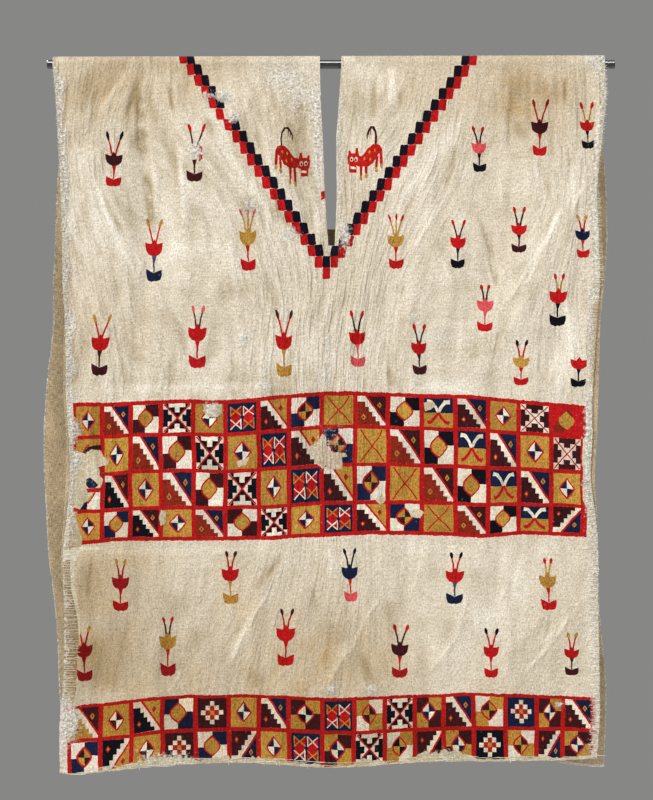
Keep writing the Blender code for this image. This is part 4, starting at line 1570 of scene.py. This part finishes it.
def makeWoolGroup():  # hand-spun wool: streaks down the cloth, painted shade and highlight, stains, and worn speckled places
    tree, inside, outside = groupWith(
        "woolTapestry",
        [("Dye", "NodeSocketColor"), ("Flat", "NodeSocketVector"), ("Grain", "NodeSocketVector"),
         ("Wear", "NodeSocketFloat"), ("Stain", "NodeSocketFloat"), ("PaintedShade", "NodeSocketFloat")],
        [("Colour", "NodeSocketColor"), ("Height", "NodeSocketFloat")],
    )
    values = woolValues
    dye, flat, lean, wear, stain, paintedShadeAndTone = inside.outputs[:6]
    follows = {"flat": flat, "lean": lean}
    grain = {name: stretchedNoise(tree, follows[place], *look) for name, (place, *look) in woolGrains.items()}
    split = addNode(tree, "ShaderNodeSeparateXYZ")
    tree.links.new(lean, split.inputs[0])
    lively = split.outputs[2]
    ridge = maths(tree, "ABSOLUTE", maths(tree, "SUBTRACT", grain["bend"], 0.5))
    lightness = 1.0
    for name, share in values["light"].items():
        lightness = centred(tree, grain[name], share, lightness)
    hue = addNode(tree, "ShaderNodeSeparateColor")
    tree.links.new(dye, hue.inputs[0])
    boost = addNode(tree, "ShaderNodeMapRange", **values["darkDyes"])
    tree.links.new(hue.outputs[2], boost.inputs["Value"])
    lightness = maths(tree, "MULTIPLY_ADD", maths(tree, "SUBTRACT", lightness, 1.0), boost.outputs[0], 1.0)
    lightness = maths(tree, "MAXIMUM", lightness, values["darkest"])
    warmth = addNode(tree, "ShaderNodeCombineXYZ")
    for socket, power in zip(warmth.inputs, values["warmth"]):
        tree.links.new(maths(tree, "POWER", lightness, power), socket)
    spun = addNode(tree, "ShaderNodeVectorMath", operation="MULTIPLY")
    tree.links.new(dye, spun.inputs[0])
    tree.links.new(warmth.outputs[0], spun.inputs[1])
    # painted shade in the hollows, painted highlight on the ridges and crinkle crests, random cloudy tone,
    # then stains
    paintedShadeAndTone = maths(tree, "MULTIPLY", paintedShadeAndTone, values["paintedShadeStrength"])
    paintedShadeAndTone = centred(tree, grain["cloud"], values["cloudTone"], paintedShadeAndTone)
    # the bump's crinkle lines get painted highlight on their crests and painted shade beside them
    crinkle = maths(tree, "MULTIPLY_ADD", ridge, *values["crinklePaintedShade"])
    crinkle = centred(tree, grain["drift"], values["driftPaintedShade"], crinkle)
    paintedShadeAndTone = maths(tree, "MULTIPLY_ADD", crinkle, lively, paintedShadeAndTone)
    darker = limited(tree, maths(tree, "MULTIPLY", paintedShadeAndTone, -1.0))
    shaded = blendColour(tree, darker, spun.outputs[0], values["paintedShadeTint"], "MULTIPLY")
    shaded = blendColour(tree, limited(tree, paintedShadeAndTone), shaded, values["paintedHighlightTint"], "MULTIPLY")
    stainShare = maths(tree, "MULTIPLY_ADD", grain["cloud"], *values["stainPatches"])
    stainShare = limited(tree, maths(tree, "MULTIPLY", stain, stainShare))
    stained = blendColour(tree, stainShare, shaded, values["stainTint"], "MULTIPLY")
    # worn places with pale loops
    patch = maths(tree, "MULTIPLY", wear, values["wearPatch"])
    patch = maths(tree, "MULTIPLY_ADD", grain["tuft"], values["tuftPatch"], patch)
    ramp = addNode(tree, "ShaderNodeMapRange", interpolation_type="SMOOTHSTEP", **values["worn"])
    tree.links.new(patch, ramp.inputs["Value"])
    paleness = centred(tree, grain["fleck"], values["fleckPale"], values["paleness"])
    paleness = centred(tree, grain["loop"], values["loopPale"], paleness)
    pale = addNode(tree, "ShaderNodeVectorMath", operation="SCALE")
    pale.inputs[0].default_value = palette["pale"]
    tree.links.new(paleness, pale.inputs["Scale"])
    wornShare = maths(tree, "MULTIPLY", ramp.outputs[0], values["wornShare"])
    tree.links.new(blendColour(tree, wornShare, stained, pale.outputs[0]), outside.inputs["Colour"])
    # height of fuzz, weave and crinkles
    fuzz = maths(tree, "MULTIPLY_ADD", wear, *values["fuzzHeight"])
    height = maths(tree, "MULTIPLY", maths(tree, "ADD", grain["tuft"], grain["loop"]), fuzz)
    for name in ("strand", "rib"):
        height = maths(tree, "MULTIPLY_ADD", grain[name], values["weaveHeight"], height)
    crimp = maths(tree, "MULTIPLY", grain["pleat"], values["pleatHeight"])
    crimp = maths(tree, "MULTIPLY_ADD", ridge, values["ridgeHeight"], crimp)
    crimp = maths(tree, "MULTIPLY_ADD", grain["streak"], values["streakHeight"], crimp)
    crimp = maths(tree, "MULTIPLY_ADD", grain["drift"], values["driftHeight"], crimp)
    height = maths(tree, "MULTIPLY_ADD", crimp, lively, height)
    tree.links.new(height, outside.inputs["Height"])
    return tree


woolGroup = makeWoolGroup()


def attributeNode(tree, name):
    return addNode(tree, "ShaderNodeAttribute", attribute_name=name)


webLook = {"bump": 0.0030, "bumpStrength": 1.0, "roughness": 0.93, "specular": 0.1, "sheen": 0.04}
webInputs = [
    # input of the wool group, attribute, what is read from it
    ("Dye", "dye", "Color"), ("Flat", "flat", "Vector"), ("Grain", "grain", "Vector"),
    ("Wear", "wear", "Fac"),
    ("Stain", "stain", "Fac"), ("PaintedShade", "paintedShadeAndTone", "Fac"),
]


def makeWebMaterial(name, values):
    made, tree, shader = newMaterial(name)
    cloth = addNode(tree, "ShaderNodeGroup")
    cloth.node_tree = woolGroup
    for label, attribute, output in webInputs:
        tree.links.new(attributeNode(tree, attribute).outputs[output], cloth.inputs[label])
    bump = addNode(tree, "ShaderNodeBump", Strength=values["bumpStrength"], Distance=values["bump"])
    tree.links.new(cloth.outputs["Height"], bump.inputs["Height"])
    tree.links.new(cloth.outputs["Colour"], shader.inputs["Base Color"])
    tree.links.new(bump.outputs["Normal"], shader.inputs["Normal"])
    shader.inputs["Roughness"].default_value = values["roughness"]
    shader.inputs["Specular IOR Level"].default_value = values["specular"]
    shader.inputs["Sheen Weight"].default_value = values["sheen"]
    return made


def makeYarnGroup():  # two crossing grains and slow clouds, for spun yarn and for dusty paint
    tree, inside, outside = groupWith(
        "yarnGrain",
        [("Place", "NodeSocketVector"), ("Along", "NodeSocketVector"), ("Across", "NodeSocketVector"),
         ("Drift", "NodeSocketVector")],
        [("Weave", "NodeSocketFloat"), ("Cloud", "NodeSocketFloat")],
    )
    place, along, across, drift = inside.outputs[:4]
    weave = maths(tree, "ADD", stretchedNoise(tree, place, along, 2), stretchedNoise(tree, place, across, 2))
    tree.links.new(weave, outside.inputs["Weave"])
    tree.links.new(stretchedNoise(tree, place, drift, 3), outside.inputs["Cloud"])
    return tree


yarnGroup = makeYarnGroup()


def yarnGrain(tree, place, values):
    grain = addNode(tree, "ShaderNodeGroup")
    grain.node_tree = yarnGroup
    tree.links.new(place, grain.inputs["Place"])
    for label, key in (("Along", "along"), ("Across", "across"), ("Drift", "drift")):
        grain.inputs[label].default_value = values[key]
    return grain.outputs["Weave"], grain.outputs["Cloud"]


def makeYarnMaterial(name, values):  # plain spun yarn, woven or loose
    made, tree, shader = newMaterial(name)
    if values["attribute"]:
        place = attributeNode(tree, values["attribute"]).outputs["Vector"]
    else:
        place = addNode(tree, "ShaderNodeTexCoord").outputs["Object"]
    weave, cloud = yarnGrain(tree, place, values)
    lightness = maths(tree, "MULTIPLY_ADD", weave, values["weaveShare"], 1.0 - values["weaveShare"])
    lightness = centred(tree, cloud, values["cloudShare"], lightness)
    spun = addNode(tree, "ShaderNodeVectorMath", operation="SCALE")
    spun.inputs[0].default_value = values["colour"]
    tree.links.new(lightness, spun.inputs["Scale"])
    tree.links.new(spun.outputs[0], shader.inputs["Base Color"])
    bump = addNode(tree, "ShaderNodeBump", Strength=values["bumpStrength"], Distance=values["bump"])
    tree.links.new(weave, bump.inputs["Height"])
    tree.links.new(bump.outputs["Normal"], shader.inputs["Normal"])
    shader.inputs["Roughness"].default_value = values["roughness"]
    shader.inputs["Specular IOR Level"].default_value = values["specular"]
    return made


def makeRodMaterial(values):  # black gloss paint, faintly scratched along its length and dusty in places
    made, tree, shader = newMaterial("blackRod")
    place = addNode(tree, "ShaderNodeTexCoord").outputs["Object"]
    weave, cloud = yarnGrain(tree, place, values)
    dust = maths(tree, "MULTIPLY", maths(tree, "SUBTRACT", cloud, values["dustFrom"]), values["dustShare"])
    dust = limited(tree, dust)
    tree.links.new(blendColour(tree, dust, values["colour"], values["dust"]), shader.inputs["Base Color"])
    roughness = maths(tree, "MULTIPLY_ADD", weave, values["scratchShare"], values["roughness"])
    roughness = maths(tree, "MULTIPLY_ADD", dust, values["dustRoughness"], roughness)
    tree.links.new(roughness, shader.inputs["Roughness"])
    shader.inputs["Coat Weight"].default_value = values["coat"]
    shader.inputs["Coat IOR"].default_value = values["coatIor"]
    shader.inputs["Specular IOR Level"].default_value = values["specular"]
    return made


def plainMaterial(name, colour, roughness):
    made, _, shader = newMaterial(name)
    shader.inputs["Base Color"].default_value = (*colour, 1.0)
    shader.inputs["Roughness"].default_value = roughness
    return made


liningLook = {
    "attribute": "flat",
    "colour": srgb(186, 165, 131),
    "along": (900, 160, 1),
    "across": (160, 900, 1),
    "drift": (26, 14, 1),
    "weaveShare": 1.5,
    "cloudShare": 1.1,
    "bump": 0.0012,
    "bumpStrength": 0.8,
    "roughness": 0.95,
    "specular": 0.2,
}
threadLook = {
    "attribute": "",
    "colour": srgb(224, 214, 192),
    "along": (900, 900, 900),
    "across": (260, 260, 260),
    "drift": (60, 60, 60),
    "weaveShare": 0.7,
    "cloudShare": 0.9,
    "bump": 0.0004,
    "bumpStrength": 0.8,
    "roughness": 0.9,
    "specular": 0.2,
}
rodLook = {
    "colour": srgb(14, 14, 16),
    "dust": srgb(58, 56, 52),
    "along": (30, 2600, 2600),
    "across": (420, 60, 60),
    "drift": (34, 70, 70),
    "dustFrom": 0.52,
    "dustShare": 2.2,
    "roughness": 0.05,
    "scratchShare": 0.04,
    "dustRoughness": 0.25,
    "coat": 1.0,
    "coatIor": 1.8,
    "specular": 1.0,
}
webMaterial = makeWebMaterial("creamTapestry", webLook)
liningMaterial = makeYarnMaterial("tanLining", liningLook)
threadMaterial = makeYarnMaterial("paleThread", threadLook)

# Webs
webValues = {
    "grid": 4.6,
    "plainGrid": 6.0,
    "innerGrid": 14.0,
    "innerFine": 0.6,
    "tint": 0.13,
    "hue": 0.03,
    "seed": 7,
}


def tinted(colour, draw):
    share = 1 + draw.uniform(-1, 1) * webValues["tint"]
    hue = webValues["hue"]
    return tuple(min(1.0, part * share * (1 + draw.uniform(-1, 1) * hue)) for part in palette[colour])


def makeWeb(name, side, spots, stains, strokes, replaced):
    draw = random.Random(webValues["seed"])
    outline = anticlockwise(outlineOf(side))
    shapes = []
    for shape in design:
        rough = roughened(shape["points"], shape["spacing"], shape["tooth"], draw)
        shapes.append(anticlockwise([warped(point) for point in rough]))
    creases = side["sharpCreases"]
    grid = webValues["grid"] if creases else webValues["plainGrid"]
    flat, faces, layers, loop = triangulate(outline, shapes, grid, creasePoints(creases))
    innerFlat, innerFaces, _, innerLoop = triangulate(outline, [], webValues["innerGrid"])
    mesh, outerCount = shellOf(name, side, (flat, faces, loop), (innerFlat, innerFaces, innerLoop),
                               (0.0, drapeValues["webThickness"]), (1.0, webValues["innerFine"]))
    colours = np.array([palette["cream"]] + [tinted(shape["colour"], draw) for shape in design])
    whole = np.zeros(len(mesh.polygons), int)
    whole[:outerCount] = layers
    dye = np.ones((len(mesh.polygons), 4))
    dye[:, :3] = colours[whole]
    setAttribute(mesh, "dye", "FLOAT_COLOR", "CORNER", np.repeat(dye, 3, axis=0))
    both = np.concatenate([flat, innerFlat])
    setAttribute(mesh, "grain", "FLOAT_VECTOR", "POINT", grainAt(side, both))
    setAttribute(mesh, "wear", "FLOAT", "POINT", wearAt(side, both, spots))
    setAttribute(mesh, "stain", "FLOAT", "POINT", spotSum(stains, both))
    setAttribute(mesh, "paintedShadeAndTone", "FLOAT", "POINT", paintedShadeAt(side, strokes, both))
    piece = addObject(name, mesh, webMaterial)
    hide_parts(replaced)
    print(name, len(mesh.polygons), "triangles")
    return piece


layYoke()
for catPlace in catPlaces:
    layCat(*catPlace)
for flower in frontFlowers:
    layFlower(*flower)
layBand(mainBand)
layBand(hemBand)
for patch in lossPatches:
    layLoss("bare", patch, "patch")
# bare warp at the left edge, painted brownish for the tan lining seen between the threads, with painted shade
# between them
layLoss("gap", bareStrip, "strip")
layLoss("gap", seamStrip, "seam")
layLoss("rubbed", rubbedStrip, "strip")
layLoss("pale", paleBorder, "strip")
for scrapInk, scrap in scraps:
    layLoss(scrapInk, scrap, "scrap")
for start, end, stitchInk in slitStitches:
    stroke(stitchInk, [chart(*start), chart(*end)], stitchWidths)
layBareHem(front)
print("design of the front", len(design), "shapes")
frontWeb = makeWeb("tapestry_front", front, wearSpots, stainSpots, paintedShadeStrokes, "front_web")

design.clear()  # the back isn't seen, so it is plain cream with a bare hem
layBareHem(back)
backWeb = makeWeb("tapestry_back", back, backWear, backStains, backPaintedShadeStrokes, "back_web")

# Linings
liningValues = {"grid": 11.0, "ragged": 0.7, "fine": 0.6}


def makeLining(name, side, replaced):
    outline = anticlockwise(outlineOf(side, lining=True, ragged=liningValues["ragged"]))
    flat, faces, _, loop = triangulate(outline, [], liningValues["grid"])
    face = (flat, faces, loop)
    insets = (liningInset, liningInset + drapeValues["liningThickness"])
    mesh, _ = shellOf(name, side, face, face, insets, (liningValues["fine"], liningValues["fine"]))
    piece = addObject(name, mesh, liningMaterial)
    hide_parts(replaced)
    print(name, len(mesh.polygons), "triangles")
    return piece


frontLining = makeLining("lining_front", front, "front_lining")
backLining = makeLining("lining_back", back, "back_lining")

# Bare warp ends, overcasting and loose fibres along the edges
frayValues = {
    "radius": 0.36,
    "sides": 4,
    "lift": 0.5,
    "seed": 19,
    "edgeShares": (0.0, 0.12, 0.4, 0.7, 0.92, 1.0),
    "edgeSag": 1.2,
    "edgeUneven": 0.35,
    "edgeLift": (0.2, 1.0),
    "edgeTuck": 0.3,
    "edgePitch": (0.6, 1.4),
    "hemFrom": -350.0,
    "hemTo": 345,
    "hemShares": (0, 0.2, 0.5, 0.8, 1),
    "hemLong": (10, 34),
    "hemRise": (0.5, 7.5),
    "hemUneven": 0.5,
    "hemLift": (0.1, 0.8),
    "hemPitch": (4, 10),
    "hangChance": 0.16,
    "hangShares": (0, 0.2, 0.6, 0.85, 1),
    "hangLow": (1, 4),
    "hangHigh": 3,
    "hangLift": 0.2,
}
frontFray = [
    # edge, fromDepth, toDepth, pitch, shortestIn, longestIn, shortestOut, longestOut
    (-1, 640, 862, 3.4, 12, 23, -0.5, 1.5),
    (-1, 10, 450, 2.8, 3, 10, -0.5, 2.0),
    (-1, 455, 640, 6.0, 2, 9, 0.0, 2.0),
    (1, 160, 296, 2.0, 2, 7, 2.0, 7.0),
    (1, 291, 301, 1.5, 6, 18, 1.0, 6.0),
    (1, 300, 450, 2.6, 3, 13, -0.5, 2.0),
    (1, 560, 925, 2.3, 5, 16, -0.5, 2.5),
    (1, 2, 158, 2.2, 4, 7, 0.3, 4.0),
]
backFray = [
    # edge, fromDepth, toDepth, pitch, shortestIn, longestIn, shortestOut, longestOut
    (-1, 20, 930, 6.0, 2, 8, -0.5, 1.5),
    (1, 20, 930, 6.0, 2, 8, -0.5, 1.5),
]


def tubePart(points, radius, sides, places, faces):  # one thread as a thin tube with pointed ends
    points = np.asarray(points, float)
    upward = (0.31, 0.2, 0.93)  # a direction that no thread runs in
    start = len(places)
    for number in range(1, len(points) - 1):
        run = points[number + 1] - points[number - 1]
        run = run / (np.linalg.norm(run) + 1e-12)
        aside = np.cross(run, upward)
        aside = aside / (np.linalg.norm(aside) + 1e-12)
        above = np.cross(run, aside)
        for side in range(sides):
            turn = 2 * math.pi * side / sides
            places.append(points[number] + radius * (math.cos(turn) * aside + math.sin(turn) * above))
    first, last = len(places), len(places) + 1
    places += [points[0], points[-1]]
    rings = len(points) - 2
    for ring in range(rings - 1):
        for side in range(sides):
            a, b = start + ring * sides + side, start + ring * sides + (side + 1) % sides
            faces.append((a, b, b + sides, a + sides))
    for side in range(sides):
        after = (side + 1) % sides
        faces.append((first, start + after, start + side))
        end = start + (rings - 1) * sides
        faces.append((last, end + side, end + after))


def threadPiece(name, runs, radius, material):
    places, faces = [], []
    for run in runs:
        tubePart(run, radius, frayValues["sides"], places, faces)
    mesh = meshOf(name, np.array(places), faces)
    mesh.shade_smooth()
    return addObject(name, mesh, material)


def edgeThreads(side, rows, draw):  # threads lying over the cloth's edge, most of them level
    values = frayValues
    runs = []
    for edge, fromDepth, toDepth, pitch, shortIn, longIn, shortOut, longOut in rows:
        depth = fromDepth
        column = 1 if edge < 0 else 2
        while depth < toDepth:
            reach = float(curveAt(side["sections"], column, depth))
            inner = reach - draw.uniform(shortIn, longIn)
            outer = reach + draw.uniform(shortOut, longOut)
            sag = draw.uniform(-values["edgeSag"], values["edgeSag"])
            flat = []
            for share in values["edgeShares"]:
                x = edge * (inner + (outer - inner) * share)
                uneven = draw.uniform(-values["edgeUneven"], values["edgeUneven"])
                flat.append((x, -depth + sag * share + uneven))
            run = drape(side, np.array(flat), -values["lift"] * draw.uniform(*values["edgeLift"]))
            run[0] = drape(side, np.array(flat[:1]), values["edgeTuck"])[0]
            runs.append(run)
            depth += pitch * draw.uniform(*values["edgePitch"])
    return runs


def hemThreads(side, draw):  # level bare threads along the cut hem, and ends that hang from it
    values = frayValues
    runs = []
    x = values["hemFrom"]
    while x < values["hemTo"]:
        drop = float(curveAt(side["hem"], 1, x))
        length = draw.uniform(*values["hemLong"])
        rise = draw.uniform(*values["hemRise"])
        flat = []
        for share in values["hemShares"]:
            uneven = draw.uniform(-values["hemUneven"], values["hemUneven"])
            flat.append((x + length * share, -drop + rise + uneven))
        runs.append(drape(side, np.array(flat), -values["lift"] * draw.uniform(*values["hemLift"])))
        if draw.random() < values["hangChance"]:
            low, high = draw.uniform(*values["hangLow"]), values["hangHigh"]
            flat = []
            for share in values["hangShares"]:
                flat.append((x + draw.uniform(-1, 1) * share, -drop + high - (low + high) * share))
            runs.append(drape(side, np.array(flat), -values["hangLift"]))
        x += draw.uniform(*values["hemPitch"])
    return runs


frayDraw = random.Random(frayValues["seed"])
frayRadius = frayValues["radius"] * mm
frayRuns = edgeThreads(front, frontFray, frayDraw) + hemThreads(front, frayDraw)
frontThreads = threadPiece("fray_front", frayRuns, frayRadius, threadMaterial)
frayRuns = edgeThreads(back, backFray, frayDraw) + hemThreads(back, frayDraw)
backThreads = threadPiece("fray_back", frayRuns, frayRadius, threadMaterial)
print("frayed edges", len(frontThreads.data.polygons) + len(backThreads.data.polygons), "faces")

# Rod
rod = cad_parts["rod"]
rod.data.materials.clear()
rod.data.materials.append(makeRodMaterial(rodLook))
print("rod in black gloss paint")

# Stage, light and camera
stageValues = {
    "floorHeight": -1.35,
    "floorSize": 3.0,
    "floorColour": srgb(178, 177, 174),
    "floorRoughness": 0.9,
    "cameraLens": 100.0,
    "cameraSensor": 36.0,
    "cameraFromCloth": 0.015,
    "cameraLower": 1.6,
    "pictureTall": 800,
    "pictureWide": 653,
    "worldColour": (0.93, 0.93, 0.92, 1.0),
    "worldStrength": 0.26,
}
studioLights = [
    # name, place, target, size, power, depth of a rectangular one
    ("key", (-7.3, -6.2, 3.9), (0.05, 0, -0.45), 2.1, 868.0, None),
    ("fill", (2.6, -3.8, -0.3), (0.1, 0, -0.45), 2.0, 60.0, None),
    ("top", (0.1, -1.5, 2.3), (0, 0, -0.3), 3.0, 26.0, 0.45),
    ("rear", (-2.6, 2.8, 1.4), (0, 0, -0.45), 1.6, 86.8, None),
    ("rearFill", (2.4, 3.2, 0.2), (0, 0, -0.45), 2.0, 72.0, None),
]


def makeFloor():
    size = stageValues["floorSize"] / 2
    level = stageValues["floorHeight"]
    mesh = bpy.data.meshes.new("floor")
    corners = [(x * size, y * size, level) for x, y in ((-1, -1), (1, -1), (1, 1), (-1, 1))]
    mesh.from_pydata(corners, [], [(0, 1, 2, 3)])
    floor = bpy.data.objects.new("floor", mesh)
    floorMaterial = plainMaterial("paleFloor", stageValues["floorColour"], stageValues["floorRoughness"])
    mesh.materials.append(floorMaterial)
    scene.collection.objects.link(floor)


def makeLight(name, place, target, size, power, depth):
    data = bpy.data.lights.new(name, "AREA")
    data.shape = "RECTANGLE" if depth else "DISK"
    data.size = size
    data.size_y = depth or size
    data.energy = power
    lamp = bpy.data.objects.new(name, data)
    lamp.location = place
    lamp.rotation_euler = (Vector(target) - Vector(place)).to_track_quat("-Z", "Y").to_euler()
    scene.collection.objects.link(lamp)


def makeCamera():
    middle = chart(stageValues["pictureWide"] / 2, stageValues["pictureTall"] / 2)
    tall = stageValues["pictureTall"] * chartValues["unit"] * mm
    data = bpy.data.cameras.new("camera")
    data.lens = stageValues["cameraLens"]
    data.sensor_width = stageValues["cameraSensor"]
    camera = bpy.data.objects.new("camera", data)
    away = tall * stageValues["cameraLens"] / data.sensor_width + stageValues["cameraFromCloth"]
    camera.location = (middle[0] * mm, -away, (middle[1] - stageValues["cameraLower"]) * mm)
    camera.rotation_euler = (math.pi / 2, 0, 0)
    scene.collection.objects.link(camera)
    scene.camera = camera


makeFloor()
for studioLight in studioLights:
    makeLight(*studioLight)
world = bpy.data.worlds.new("studio")
world.use_nodes = True
background = world.node_tree.nodes["Background"]
background.inputs["Color"].default_value = stageValues["worldColour"]
background.inputs["Strength"].default_value = stageValues["worldStrength"]
scene.world = world
scene.view_settings.view_transform = "Standard"
makeCamera()
print("stage with", len(studioLights), "lights")
